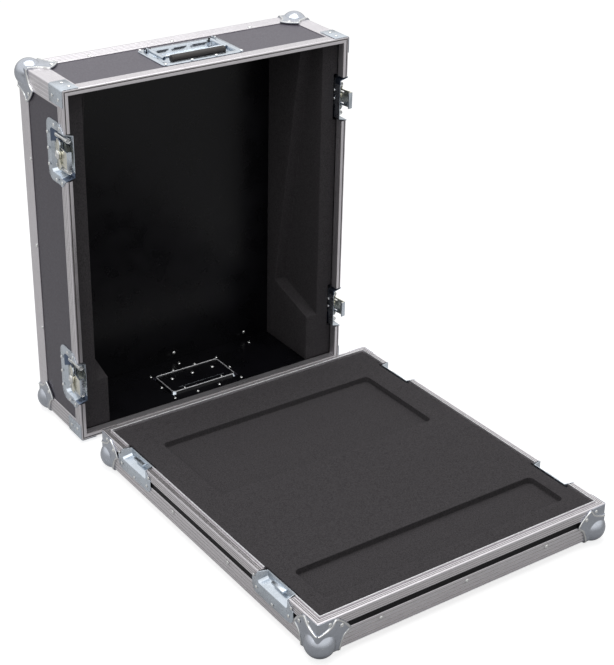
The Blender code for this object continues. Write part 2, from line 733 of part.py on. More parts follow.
def latch_arm():
    """The hooked arm, flat on its back, about its own pin at zero."""
    top = ARM_TOP_IN - PIN_IN
    tip = -ARM_TIP_OUT - PIN_BACK
    arm = block((top, tip, -ARM_HALF), (top + ARM_SHEET, ARM_TAIL, ARM_HALF))
    joined(arm, block((top, tip, -ARM_HALF), (top + HOOK_DEEP, tip + ARM_SHEET, ARM_HALF)))
    joined(arm, block((top + ARM_SHEET / 2, -KNUCKLE_HALF, -ARM_HALF), (0, KNUCKLE_HALF, ARM_HALF)))
    joined(arm, rod((0, 0, -ARM_HALF), (0, 0, ARM_HALF), BARREL_RADIUS, 16))
    post = WING_BACK - PIN_BACK
    past = ARM_HALF + SPARE
    return cut(
        arm,
        rod((0, 0, -past), (0, 0, past), PIN_RADIUS + CLEAR, 16),
        rod((top - ARM_SHEET, post, 0), (top + 2 * ARM_SHEET, post, 0), POST_RADIUS + CLEAR, 20),
    )


def latch_wing():
    """The turning wing with its post and cam disc, about the post at zero; the arm's plate lies above it."""
    across, along = WING_TIP_CUT
    quarter = [WING_WAIST, (WING_TIP_HALF, WING_HALF - along), (WING_TIP_HALF - across, WING_HALF)]
    outline = (
        [(y, z) for y, z in quarter] + [(-y, z) for y, z in reversed(quarter)]
        + [(-y, -z) for y, z in quarter] + [(y, -z) for y, z in reversed(quarter)]
    )
    wing = slab(outline, "X", -CLEAR - WING_SHEET, -CLEAR)
    joined(wing, rod((-CLEAR - WING_SHEET, 0, 0), (-CLEAR, 0, 0), WING_HUB_RADIUS, 20))
    below = ARM_SHEET + CLEAR
    joined(wing, rod((-CLEAR - WING_SHEET / 2, 0, 0), (below + WING_SHEET / 2, 0, 0), POST_RADIUS, 20))
    return joined(wing, rod((below, 0, 0), (below + WING_SHEET, 0, 0), CAM_RADIUS, 20))


def latches():
    dish, arm, wing = latch_dish(), latch_arm(), latch_wing()
    post = (ARM_TOP_IN - PIN_IN, WING_BACK - PIN_BACK, 0)
    for side in ("left", "right"):
        for end, middle in zip(("bottom", "top"), LATCH_PLACES):
            name = side + "_" + end
            turn = (0, 0, 0) if side == "left" else (0, math.pi, 0)
            frame = new_frame(
                "latch_frame_" + name, (0 if side == "left" else WIDTH, 0, middle), COVER_FRAME, turn
            )
            pivot = new_frame("latch_pivot_" + name, (PIN_IN, PIN_BACK, 0), frame, (0, 0, -ARM_OPEN))
            if dish.parent is None:
                place(dish, "latch_dish_" + name, STEEL, frame)
                place(arm, "latch_arm_" + name, STEEL, pivot)
                place(wing, "latch_wing_" + name, STEEL, pivot, post)
            else:
                twin(dish, "latch_dish_" + name, frame)
                twin(arm, "latch_arm_" + name, pivot)
                twin(wing, "latch_wing_" + name, pivot, post)


# The handles, drawn for the top end: Z runs outwards from its face

def handle_dish():
    long, wide = HANDLE_LONG / 2, HANDLE_WIDE / 2
    outer = -PROFILE
    dish = slab(rounded(-long, -wide, long, wide, HANDLE_FLANGE_RADIUS), "Z", outer, outer + HANDLE_SHEET)

    def pan(shrink, low, high):
        x, y = HANDLE_PAN[0] / 2 - shrink, HANDLE_PAN[1] / 2 - shrink
        rim = rounded(-x, HANDLE_PAN_SHIFT - y, x, HANDLE_PAN_SHIFT + y, HANDLE_PAN_RADIUS - shrink)
        x, y = x - HANDLE_DRAFT, y - HANDLE_DRAFT
        floor = rounded(-x, HANDLE_PAN_SHIFT - y, x, HANDLE_PAN_SHIFT + y, HANDLE_PAN_RADIUS - shrink)
        return tapered(floor, rim, "Z", low, high)

    joined(dish, pan(0, -HANDLE_PAN_DEEP - HANDLE_SHEET, outer + HANDLE_SHEET))
    cut(dish, pan(HANDLE_SHEET, -HANDLE_PAN_DEEP, CLEAR))
    pivot = BAIL_PIVOT_BEHIND
    for side in (-1, 1):
        near = BAIL_HALF + BAIL_RADIUS + 2 * CLEAR
        span = sorted((side * near, side * (near + HANDLE_EAR)))
        ear = block(
            (span[0], pivot - HANDLE_EAR_BEFORE, -HANDLE_PAN_DEEP - HANDLE_SHEET / 2),
            (span[1], pivot + HANDLE_EAR_BEHIND, BAIL_OUT + HANDLE_EAR_OVER),
        )
        joined(dish, cut(ear, rod(
            (span[0] - SPARE, pivot, BAIL_OUT), (span[1] + SPARE, pivot, BAIL_OUT), STUB_RADIUS + CLEAR
        )))
    return dish


def handle_bail():
    """The bent steel bail with its grip, about its pivots at zero; the grip lies on the -Y side."""
    half, reach, bend = BAIL_HALF, BAIL_REACH, BAIL_BEND
    path = [(-half, 0)] + arc((-half + bend, -reach + bend), bend, 180, 270, 4)
    path += [(-x, y) for x, y in reversed(path)]
    curve = bpy.data.curves.new("bail", "CURVE")
    curve.dimensions = "3D"
    curve.bevel_depth = BAIL_RADIUS
    curve.bevel_resolution = 2
    curve.use_fill_caps = True
    spline = curve.splines.new("POLY")
    spline.points.add(len(path) - 1)
    for point, (x, y) in zip(spline.points, path):
        point.co = (x, y, 0, 1)
    bail = from_curve(curve, Matrix.Identity(4))
    deep, thick = GRIP_DEEP / 2, GRIP_THICK / 2
    joined(bail, block((-GRIP_HALF, -reach - deep, -thick), (GRIP_HALF, -reach + deep, thick), GRIP_ROUND))
    for side in (-1, 1):
        end = side * (half + BAIL_RADIUS + HANDLE_EAR + 4 * CLEAR)
        joined(bail, rod((side * (half - BAIL_RADIUS / 2), 0, 0), (end, 0, 0), STUB_RADIUS))
        eye = (side * (half - BAIL_RADIUS), 0, 0), (side * (half + BAIL_RADIUS), 0, 0)
        joined(bail, rod(*eye, BAIL_RADIUS + CLEAR))
    return bail


def handles():
    dish, bail = handle_dish(), handle_bail()
    for end, z, turn in (("top", LENGTH, 0), ("bottom", 0, math.pi)):
        middle = (WIDTH / 2, HANDLE_FROM_OPENING, z)
        frame = new_frame("handle_frame_" + end, middle, COVER_FRAME, (0, turn, 0))
        pivot = new_frame("bail_pivot_" + end, (0, BAIL_PIVOT_BEHIND, BAIL_OUT), frame)
        if dish.parent is None:
            place(dish, "handle_dish_" + end, STEEL, frame)
            place(bail, "handle_bail_" + end, GRIP, pivot)
        else:
            twin(dish, "handle_dish_" + end, frame)
            twin(bail, "handle_bail_" + end, pivot)


# The tray

def tray_boards():
    outline = rectangle(SKIN, -LENGTH + SKIN, WIDTH - SKIN, -SKIN)
    place(slab(outline, "Z", SKIN, SKIN + BASE_BOARD), "tray_bottom_panel", LAMINATE, TRAY_FRAME)
    inner = TRAY_WALL_IN
    top = TRAY_HEIGHT - CLOSING_FACE - CLEAR
    wall = slab(outline, "Z", TRAY_FLOOR, top, [rectangle(inner, -LENGTH + inner, WIDTH - inner, -inner)])
    half = LATCH_PAN_HALF + 2 * CLEAR
    low = TRAY_HEIGHT - KEEPER_PAN_LOW - 2 * CLEAR
    for middle in LATCH_PLACES:
        cut(wall, block((-inner, -middle - half, low), (WIDTH + inner, -middle + half, TRAY_HEIGHT)))
    place(wall, "tray_wall", LAMINATE, TRAY_FRAME)


def tray_edges():
    """The lower edge angle, in two lengths that each fold round a corner."""
    leg = TRAY_EDGE_LEG
    ring = block((0, -LENGTH, 0), (WIDTH, 0, 2 * leg), EDGE_RADIUS)
    cut(
        ring,
        block((PROFILE, -LENGTH + PROFILE, PROFILE), (WIDTH - PROFILE, -PROFILE, 3 * leg)),
        block((leg, -LENGTH + leg, -leg), (WIDTH - leg, -leg, leg)),
        block((-leg, -LENGTH - leg, leg), (WIDTH + leg, leg, 3 * leg)),
    )
    for x in (0, WIDTH):
        for y in (0, -LENGTH):
            cut(ring, block((x - BALL_IN, y - BALL_IN, -BALL_IN), (x + BALL_IN, y + BALL_IN, BALL_IN)))
    split = leg + PROFILE
    low = (-SPARE, -LENGTH - SPARE, -SPARE)
    cut(
        ring,
        block(low, (WIDTH - split, -split, leg + SPARE)),
        block(low, (WIDTH + SPARE, -LENGTH + split + CLEAR, leg + SPARE)),
    )
    place(ring, "tray_edge_far", PROFILE_METAL, TRAY_FRAME)
    twin(ring, "tray_edge_near", TRAY_FRAME, *TRAY_PARTNER)


def tray_closing():
    """The lipped profile round the rim, in lengths between the keepers."""
    end = -TRAY_CLOSING_LEG - SPARE
    inner_end = -CLOSING_FACE - TRAY_CLOSING_INNER_LEG
    ring = opening_ring("Z", TRAY_HEIGHT, 0, TRAY_CLOSING_INNER, -TRAY_CLOSING_LEG, LIP_HEIGHT, EDGE_RADIUS)
    cut(
        ring,
        opening_ring("Z", TRAY_HEIGHT, -SPARE, LIP_OUTER, 0, LIP_HEIGHT + SPARE),
        opening_ring("Z", TRAY_HEIGHT, PROFILE, TRAY_CLOSING_INNER - PROFILE, end, -CLOSING_FACE),
        opening_ring("Z", TRAY_HEIGHT, TRAY_CLOSING_INNER / 2, TRAY_CLOSING_INNER + SPARE, end, inner_end),
    )
    far_notch, near_notch = -LATCH_PLACES[0], -LATCH_PLACES[1]
    far = common(
        bench_copy(ring),
        block((-SPARE, far_notch + LATCH_NOTCH, 0), (WIDTH + SPARE, SPARE, 2 * TRAY_HEIGHT)),
    )
    left = common(ring, block(
        (-SPARE, near_notch + LATCH_NOTCH, 0), (WIDTH / 2, far_notch - LATCH_NOTCH, 2 * TRAY_HEIGHT)
    ))
    place(far, "tray_closing_far", PROFILE_METAL, TRAY_FRAME)
    twin(far, "tray_closing_near", TRAY_FRAME, *TRAY_PARTNER)
    place(left, "tray_closing_left", PROFILE_METAL, TRAY_FRAME)
    twin(left, "tray_closing_right", TRAY_FRAME, *TRAY_PARTNER)


def tray_corners():
    ball = ball_corner(TRAY_HEIGHT - CLEAR)
    places = {
        "far_left": (0, 0, 1, -1),
        "far_right": (WIDTH, 0, -1, -1),
        "near_left": (0, -LENGTH, 1, 1),
        "near_right": (WIDTH, -LENGTH, -1, 1),
    }
    for name, (x, y, inwards, along) in places.items():
        spot = (x, y, 0), facing((inwards, 0, 0), (0, along, 0), (0, 0, 1))
        if ball.parent is None:
            place(ball, "tray_ball_" + name, STEEL, TRAY_FRAME, *spot)
        else:
            twin(ball, "tray_ball_" + name, TRAY_FRAME, *spot)


def keeper():
    """The keeper for the left side, its rim at Z zero: a flange, an open-topped pan and the arm's lug."""
    over = -CLEAR - LATCH_SHEET
    half, nose, low = LATCH_FLANGE_HALF, LATCH_PAN_HALF + FLANGE_NOSE_OVER, -KEEPER_FLANGE_LOW
    radius = KEEPER_FLANGE_RADIUS
    side = [(nose, -FLANGE_START), (nose + FLANGE_NOSE_OVER, -FLANGE_NOSE), (half, -FLANGE_FULL)]
    side += arc((half - radius, low + radius), radius, 0, -90, 4)
    dish = slab(side + [(-y, z) for y, z in reversed(side)], "X", over, -CLEAR)
    top = -PAN_FRONT

    def pan(shrink, low_x, high_x, rim):
        def outline(draft, low_draft):
            wide = LATCH_PAN_HALF - shrink - draft
            low = -KEEPER_PAN_LOW + shrink + low_draft
            step = KEEPER_PAN_CHAMFER
            side = [(wide, rim), (wide, low + step), (wide - step, low)]
            return side + [(-y, z) for y, z in reversed(side)]
        return tapered(outline(0, 0), outline(LATCH_DRAFT, KEEPER_LOW_DRAFT), "X", low_x, high_x)

    joined(dish, pan(0, over, LATCH_FLOOR_OUT, top))
    cut(dish, pan(LATCH_SHEET, over - CLEAR, LATCH_PAN_DEEP, -top))
    return joined(dish, block(
        (LUG_IN, -ARM_HALF, -LUG_TOP - LUG_SHEET), (LATCH_PAN_DEEP + LATCH_SHEET / 2, ARM_HALF, -LUG_TOP)
    ))


def keepers():
    piece = keeper()
    for side in ("left", "right"):
        for end, middle in zip(("far", "near"), LATCH_PLACES):
            left = side == "left"
            spot = (0 if left else WIDTH, -middle, TRAY_HEIGHT), (0, 0, 0 if left else math.pi)
            if piece.parent is None:
                place(piece, f"keeper_{side}_{end}", STEEL, TRAY_FRAME, *spot)
            else:
                twin(piece, f"keeper_{side}_{end}", TRAY_FRAME, *spot)


def tray_foam():
    """The foam bed, relieved behind the keepers, with its two moulded recesses."""
    inset = TRAY_FOAM_IN
    top = TRAY_HEIGHT - TRAY_FOAM_BELOW_RIM
    foam = slab(rectangle(inset, -LENGTH + inset, WIDTH - inset, -inset), "Z", TRAY_FLOOR, top)
    for (x0, x1), (far, near) in ((FAR_RECESS_X, FAR_RECESS_Y), (NEAR_RECESS_X, NEAR_RECESS_Y)):
        recess = rounded(x0, -near, x1, -far, TRAY_RECESS_RADIUS)
        cut(foam, slab(recess, "Z", top - TRAY_RECESS_DEPTH, top + SPARE))
    relief = LATCH_FLOOR_OUT + FOAM_RELIEF
    half = LATCH_PAN_HALF + FOAM_RELIEF
    low = TRAY_HEIGHT - KEEPER_PAN_LOW - FOAM_RELIEF
    for middle in LATCH_PLACES:
        for low_x, high_x in ((0, relief), (WIDTH - relief, WIDTH)):
            cut(foam, block((low_x, -middle - half, low), (high_x, -middle + half, top + SPARE)))
    place(foam, "tray_foam", FOAM, TRAY_FRAME)


def build():
    tray_boards()
    tray_edges()
    tray_closing()
    tray_corners()
    keepers()
    tray_foam()
    cover_end_panel()
    cover_side_walls()
    cover_end_walls()
    cover_edges()
    cover_closing()
    cover_corners()
    side_foam("side_foam_left", COVER_INSIDE, COVER_INSIDE + SIDE_FOAM)
    side_foam("side_foam_right", WIDTH - COVER_INSIDE, WIDTH - COVER_INSIDE - SIDE_FOAM)
    latches()
    handles()
    bpy.context.view_layer.update()


build()
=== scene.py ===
"""The finished look of an open mixer flight case: a foam-lined tray in front of its standing cover."""

import math
from contextlib import contextmanager

import bmesh
import bpy
from mathutils import Matrix, Vector


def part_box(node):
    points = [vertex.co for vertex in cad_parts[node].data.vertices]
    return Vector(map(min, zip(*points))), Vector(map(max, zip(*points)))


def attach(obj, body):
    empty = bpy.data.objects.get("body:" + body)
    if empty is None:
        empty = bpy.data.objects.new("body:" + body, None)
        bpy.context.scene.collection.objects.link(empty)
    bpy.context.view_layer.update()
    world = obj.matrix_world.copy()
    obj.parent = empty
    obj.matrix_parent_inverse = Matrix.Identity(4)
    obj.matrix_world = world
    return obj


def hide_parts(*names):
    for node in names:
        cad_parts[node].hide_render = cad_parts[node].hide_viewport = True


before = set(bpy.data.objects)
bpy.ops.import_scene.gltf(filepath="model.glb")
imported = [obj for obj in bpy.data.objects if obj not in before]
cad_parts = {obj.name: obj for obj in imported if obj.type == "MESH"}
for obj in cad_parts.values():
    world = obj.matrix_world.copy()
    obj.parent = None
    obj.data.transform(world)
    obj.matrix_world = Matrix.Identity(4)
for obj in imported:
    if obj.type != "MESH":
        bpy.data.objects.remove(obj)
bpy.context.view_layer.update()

mm = 0.001

# Sizes of the case, as in its solids
WIDTH = 520 * mm
LENGTH = 604 * mm
COVER_DEPTH = 154 * mm
TRAY_HEIGHT = 55 * mm
CLEAR = 0.3 * mm
PROFILE = 1.2 * mm
EDGE_RADIUS = 2.5 * mm
COVER_LEG = 31 * mm
TRAY_LEG = 30 * mm
BALL_RADIUS = 22.5 * mm
BALL_IN = 12.9 * mm
CORNER_SHEET = 1.8 * mm
BRACE_SHEET = 1.0 * mm
BRACE_WIDE = 27 * mm
BRACE_DEEP = 44 * mm
LATCH_PLACES = (106.5 * mm, 497.5 * mm)
LATCH_NOTCH = 38.3 * mm
HANDLE_PLACE = 68.8 * mm
BAIL_RADIUS = 3 * mm
BAIL_HALF = 57 * mm
BAIL_REACH = 55.5 * mm
BAIL_OUT = 1 * mm
BAIL_BEND = 7 * mm
BAIL_PIVOT = 33.5 * mm
GRIP_HALF = 49 * mm
GRIP_RADIUS = 6.5 * mm
RIM_LEG = 19.5 * mm
RIM_THICK = 2.5 * mm
EAR_NECK = 37 * mm

# Where the two halves stand
LEAN = 0.02207427
TRAY = Matrix.Translation((-0.26, 0.1865095, 0.0096))
COVER = Matrix.Translation((-0.26, 0.2638096, 0.0064887)) @ Matrix.Rotation(LEAN, 4, "X")

# Directions
RIGHT, BACK, UP = (1, 0, 0), (0, 1, 0), (0, 0, 1)
LEFT, FRONT, DOWN = (-1, 0, 0), (0, -1, 0), (0, 0, -1)

# The ends of a half: a name, where it lies, and the way in from it
SIDES = ("left", 0, RIGHT), ("right", WIDTH, LEFT)
LEVELS = ("bottom", 0, UP), ("top", LENGTH, DOWN)
TRAY_ENDS = ("far", 0, FRONT), ("near", -LENGTH, BACK)

# The X of each side, and which way is out from it
FLANKS = (0, -1), (WIDTH, 1)

# A small rivet beside a full one
SMALL_RIVET = 0.85

# Strength of the surroundings from low to high, as soft light and as seen in shiny faces
SOFT_HEIGHTS = (0.0, 1.0)
SOFT_LIGHT = (0.14, 0.5)
SHINE_HEIGHTS = (-0.05, 0.4)
SHINE_LIGHT = (0.5, 1.1)

# How bright the floor is to the camera
FLOOR_SEEN = 0.78


# Working by hand: taking pieces up, selecting on them, putting them down

def take(*pieces):
    """Deselects everything, then takes these pieces in hand."""
    bpy.ops.object.select_all(action="DESELECT")
    for piece in pieces:
        piece.select_set(True)
        bpy.context.view_layer.objects.active = piece


def put_away(*pieces):
    for piece in pieces:
        bpy.data.objects.remove(piece, do_unlink=True)


@contextmanager
def shaping(piece, kind="FACE"):
    """Opens a piece in edit mode with nothing selected."""
    take(piece)
    bpy.ops.object.mode_set(mode="EDIT")
    bpy.ops.mesh.select_mode(type=kind)
    bpy.ops.mesh.select_all(action="DESELECT")
    yield piece
    bpy.ops.object.mode_set(mode="OBJECT")


def everything():
    """Selects all of the piece that is open."""
    bpy.ops.mesh.select_all(action="SELECT")


def pull(x, y, z):
    """Extrudes what is selected by a step."""
    bpy.ops.mesh.extrude_region_move(TRANSFORM_OT_translate={"value": (x, y, z)})


def facing_out():
    """Turns the faces of the open piece outwards."""
    everything()
    bpy.ops.mesh.normals_make_consistent(inside=False)


def closed_up():
    """Merges the points that meet, and turns the faces outwards."""
    everything()
    bpy.ops.mesh.remove_doubles(threshold=0.001 * mm)
    facing_out()


def fixed():
    """Puts the place, turn and size of the piece in hand into its mesh."""
    bpy.ops.object.transform_apply(location=True, rotation=True, scale=True)


def named(name):
    piece = bpy.context.object
    piece.name = name
    piece.data.name = name
    return piece


def set_in(piece, place):
    """Puts a piece at its place, and its place into its mesh, with its faces pointing outwards."""
    take(piece)
    piece.matrix_world = place
    fixed()
    with shaping(piece):
        if bmesh.from_edit_mesh(piece.data).calc_volume(signed=True) < 0:
            everything()
            bpy.ops.mesh.flip_normals()
    return piece


def from_solid(node_name, name):
    """A copy of a solid's mesh as a new piece, its loose triangles merged into whole faces."""
    piece = bpy.data.objects.new(name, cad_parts[node_name].data.copy())
    bpy.context.scene.collection.objects.link(piece)
    with shaping(piece, "VERT"):
        everything()
        bpy.ops.mesh.remove_doubles(threshold=0.01 * mm)
        bpy.ops.mesh.dissolve_limited(angle_limit=math.radians(1))
    return piece


def copied(piece, place):
    """A copy with its own mesh, set in at a place."""
    take(piece)
    bpy.ops.object.duplicate(linked=False)
    return set_in(bpy.context.object, place)


def joined(name, *pieces):
    """One piece made of several."""
    take(*pieces)
    if len(pieces) > 1:
        bpy.ops.object.join()
    return named(name)


def smooth(piece, degrees=32):
    take(piece)
    bpy.ops.object.shade_smooth_by_angle(angle=math.radians(degrees))
    return piece


def softened(piece, width, segments=2, degrees=30):
    """Rounds a piece's sharp edges a little."""
    take(piece)
    bevel = piece.modifiers.new("edges", "BEVEL")
    bevel.width = width
    bevel.segments = segments
    bevel.limit_method = "ANGLE"
    bevel.angle_limit = math.radians(degrees)
    bevel.use_clamp_overlap = True
    bpy.ops.object.modifier_apply(modifier="edges")
    return smooth(piece)


def boolean(piece, tool, kind):
    """Cuts a tool from a piece, or unites them, and puts the tool away."""
    take(piece)
    step = piece.modifiers.new("boolean", "BOOLEAN")
    step.operation = kind
    step.solver = "EXACT"
    step.object = tool
    bpy.ops.object.modifier_apply(modifier="boolean")
    put_away(tool)
    return piece


# Drawing and turning

def arc(middle, radius, start, end, steps):
    """Points on a circle, from one angle in degrees to another."""
    angles = [math.radians(start + (end - start) * step / steps) for step in range(steps + 1)]
    return [
        (middle[0] + radius * math.cos(angle), middle[1] + radius * math.sin(angle)) for angle in angles
    ]


@contextmanager
def traced(points, name):
    """Opens a new piece in edit mode: a bare wire, drawn point by point."""
    take()
    bpy.ops.mesh.primitive_plane_add(size=mm)
    with shaping(named(name), "VERT") as wire:
        everything()
        bpy.ops.mesh.merge(type="CENTER")
        bpy.ops.transform.translate(value=points[0])
        for here, there in zip(points, points[1:]):
            pull(*(end - start for start, end in zip(here, there)))
        yield wire


def drawn(points, high, name, low=0):
    """A flat outline, drawn and closed, then pulled up from one height to another."""
    with traced([(x, y, low) for x, y in points], name) as piece:
        everything()
        bpy.ops.mesh.edge_face_add()
        pull(0, 0, high - low)
        facing_out()
    return piece


def block(low, high, radius=0, segments=6):
    """A block between two corners, rounded on every edge."""
    low, high = Vector(low), Vector(high)
    take()
    bpy.ops.mesh.primitive_cube_add(size=1, location=(low + high) / 2)
    piece = named("block")
    piece.scale = high - low
    fixed()
    if radius:
        with shaping(piece, "EDGE"):
            everything()
            bpy.ops.mesh.bevel(offset=radius, segments=segments, profile=0.5)
    return piece


def bead(points, radius, name, closed=False):
    """A round wire that follows points."""
    with traced(points, name) as wire:
        if closed:
            bpy.ops.mesh.select_all(action="DESELECT")
            vertices = bmesh.from_edit_mesh(wire.data).verts
            vertices.ensure_lookup_table()
            for end in (vertices[0], vertices[-1]):
                end.select_set(True)
            bmesh.update_edit_mesh(wire.data)
            bpy.ops.mesh.edge_face_add()
    wire.modifiers.new("skin", "SKIN")
    for vertex in wire.data.skin_vertices[0].data:
        vertex.radius = (radius, radius)
    rounder = wire.modifiers.new("round", "SUBSURF")
    rounder.levels = 1
    rounder.render_levels = 1
    bpy.ops.object.modifier_apply(modifier="skin")
    bpy.ops.object.modifier_apply(modifier="round")
    return smooth(wire, degrees=60)


def coil(radius, wire, pitch, turns):
    """A coil spring that runs up Z from zero."""
    take()
    bpy.ops.mesh.primitive_circle_add(
        vertices=8, radius=wire, fill_type="NOTHING", location=(radius, 0, 0), rotation=(math.pi / 2, 0, 0)
    )
    spring = named("spring")
    fixed()
    winding = spring.modifiers.new("winding", "SCREW")
    winding.axis = "Z"
    winding.screw_offset = pitch
    winding.iterations = turns
    winding.steps = 14
    winding.render_steps = 14
    bpy.ops.object.modifier_apply(modifier="winding")
    with shaping(spring, "EDGE"):
        everything()
        bpy.ops.mesh.fill_holes(sides=0)
        facing_out()
    return smooth(spring, degrees=60)


def laid(first, second, run, corner=(0, 0, 0)):
    """The place that lays X, Y and Z along three directions from a corner."""
    turn = Matrix((Vector(first), Vector(second), Vector(run))).transposed().to_4x4()
    return Matrix.Translation(corner) @ turn


def sliced(piece, point, normal):
    """Cuts off what lies on the normal's side of a plane, and closes the cut."""
    with shaping(piece):
        everything()
        bpy.ops.mesh.bisect(plane_co=point, plane_no=normal, use_fill=True, clear_outer=True)
    return piece


def scored(piece, place, *planes):
    """Divides a piece's faces along planes, without cutting anything off."""
    turn = place.to_3x3()
    for point, normal in planes:
        with shaping(piece):
            everything()
            bpy.ops.mesh.bisect(plane_co=place @ Vector(point), plane_no=turn @ Vector(normal))
    return piece


# Finishes

class Finish:
    """A material whose nodes are added one by one."""

    def __init__(self, name):
        self.material = bpy.data.materials.new(name)
        self.material.use_nodes = True
        self.tree = self.material.node_tree
        self.shader = self.tree.nodes["Principled BSDF"]
        self.place = self.node("ShaderNodeTexCoord").outputs["Object"]

    def node(self, kind, **settings):
        made = self.tree.nodes.new(kind)
        for key, value in settings.items():
            setattr(made, key, value)
        return made

    def feed(self, value, socket):
        if isinstance(value, bpy.types.NodeSocket):
            self.tree.links.new(value, socket)
        else:
            socket.default_value = value

    def stretched(self, scale):
        """The place on a piece, with its three directions scaled."""
        node = self.node("ShaderNodeMapping")
        self.feed(self.place, node.inputs["Vector"])
        node.inputs["Scale"].default_value = scale
        return node.outputs["Vector"]

    def noise(self, scale, detail, rough, where=None, twist=0):
        node = self.node("ShaderNodeTexNoise")
        self.feed(where or self.place, node.inputs["Vector"])
        node.inputs["Scale"].default_value = scale
        node.inputs["Detail"].default_value = detail
        node.inputs["Roughness"].default_value = rough
        node.inputs["Distortion"].default_value = twist
        return node.outputs["Fac"]

    def cells(self, scale):
        node = self.node("ShaderNodeTexVoronoi")
        self.feed(self.place, node.inputs["Vector"])
        node.inputs["Scale"].default_value = scale
        return node.outputs["Distance"]

    def sum(self, kind, first, second):
        node = self.node("ShaderNodeMath", operation=kind)
        for value, socket in zip((first, second), node.inputs):
            self.feed(value, socket)
        return node.outputs["Value"]

    def spread(self, value, low, high, new_low, new_high):
        """Carries a value from one range to another."""
        node = self.node("ShaderNodeMapRange")
        for item, socket in zip((value, low, high, new_low, new_high), node.inputs):
            self.feed(item, socket)
        return node.outputs["Result"]

    def shades(self, value, *stops):
        """Turns a value into a colour between two stops."""
        node = self.node("ShaderNodeValToRGB")
        for element, (at, colour) in zip(node.color_ramp.elements, stops):
            element.position = at
            element.color = (*colour, 1)
        self.feed(value, node.inputs["Fac"])
        return node.outputs["Color"]

    def mixed(self, share, first, second):
        node = self.node("ShaderNodeMix", data_type="RGBA", blend_type="MIX")
        self.feed(share, node.inputs["Factor"])
        for value, socket in ((first, node.inputs[6]), (second, node.inputs[7])):
            self.feed(value if isinstance(value, bpy.types.NodeSocket) else (*value, 1), socket)
        return node.outputs[2]

    def relief(self, *layers):
        """Bumps laid one over another: a height, its strength and how far it stands."""
        below = None
        for height, strength, distance in layers:
            node = self.node("ShaderNodeBump")
            node.inputs["Strength"].default_value = strength
            node.inputs["Distance"].default_value = distance
            self.feed(height, node.inputs["Height"])
            if below is not None:
                self.feed(below, node.inputs["Normal"])
            below = node.outputs["Normal"]
        self.feed(below, self.shader.inputs["Normal"])

    def set(self, **values):
        """Feeds the shader's sockets, named with _ for each space."""
        for key, value in values.items():
            self.feed(value, self.shader.inputs[key.replace("_", " ")])


def laminate_finish(name, dark, light, rough, gloss):
    """Laminate with a fine grain and a slightly uneven sheen."""
    look = Finish(name)
    grain = look.noise(1500, 2, 0.6)
    cloud = look.noise(22, 4, 0.5)
    speck = look.noise(420, 3, 0.7)
    grained = look.shades(grain, (0.3, dark), (0.7, light))
    look.set(
        Base_Color=look.mixed(look.spread(speck, 0.38, 0.62, 0.0, 1.0), grained, dark),
        Roughness=look.spread(speck, 0.3, 0.7, rough, rough + 0.1),
        Specular_IOR_Level=gloss,
    )
    look.relief((grain, 0.3, 0.1 * mm), (speck, 0.12, 0.1 * mm), (cloud, 0.1, 0.6 * mm))
    return look.material


def film_finish(name):
    """A smooth black finish: film on the boards, black on the backs of the handles' pans, and painted shade
    on the bail's eyes.
    """
    look = Finish(name)
    cloud = look.noise(22, 4, 0.5)
    speck = look.noise(420, 3, 0.7)
    look.set(
        Base_Color=look.shades(cloud, (0.3, (0.0036, 0.0036, 0.0048)), (0.7, (0.0064, 0.0062, 0.0084))),
        Roughness=look.spread(cloud, 0.3, 0.7, 0.24, 0.34),
        Specular_IOR_Level=0.22,
    )
    look.relief((speck, 0.08, 0.1 * mm), (cloud, 0.12, 0.6 * mm))
    return look.material


def aluminium_finish(axis):
    """Satin extruded aluminium, faintly streaked along its length."""
    look = Finish("aluminium along " + axis.lower())
    scale = [1, 1, 1]
    scale["XYZ".index(axis)] = 0.02
    streaks = look.noise(900, 3, 0.6, where=look.stretched(scale))
    cloud = look.noise(14, 4, 0.6)
    smudge = look.noise(60, 5, 0.7, twist=0.4)
    streaked = look.shades(streaks, (0.25, (0.70, 0.675, 0.705)), (0.75, (0.80, 0.775, 0.80)))
    worn = look.spread(cloud, 0.3, 0.7, -0.02, 0.06)
    look.set(
        Base_Color=look.mixed(look.spread(smudge, 0.35, 0.75, 0.0, 0.5), streaked, (0.65, 0.625, 0.655)),
        Roughness=look.sum("ADD", look.spread(streaks, 0.3, 0.7, 0.25, 0.34), worn),
        Metallic=0.82,
    )
    look.relief((streaks, 0.12, 0.05 * mm), (smudge, 0.05, 0.2 * mm))
    return look.material


def steel_finish(name, tone, rough, metallic=1.0):
    """Sheet metal in a tone of its own, slightly cloudy."""
    look = Finish(name)
    cloud = look.noise(70, 4, 0.65, twist=0.6)
    fine = look.noise(600, 3, 0.6)
    pressed = look.noise(160, 2, 0.5)
    dark = tuple(0.84 * part for part in tone)
    warm = (tone[0] * 1.02, tone[1] * 0.98, tone[2] * 0.92)
    clouded = look.shades(cloud, (0.32, dark), (0.66, tone))
    worn = look.spread(fine, 0.3, 0.7, 0, 0.05)
    look.set(
        Base_Color=look.mixed(look.spread(fine, 0.4, 0.8, 0.0, 0.35), clouded, warm),
        Metallic=metallic,
        Roughness=look.sum("ADD", look.spread(cloud, 0.3, 0.7, rough, rough + 0.1), worn),
    )
    look.relief((pressed, 0.10, 0.3 * mm), (fine, 0.08, 0.06 * mm))
    return look.material


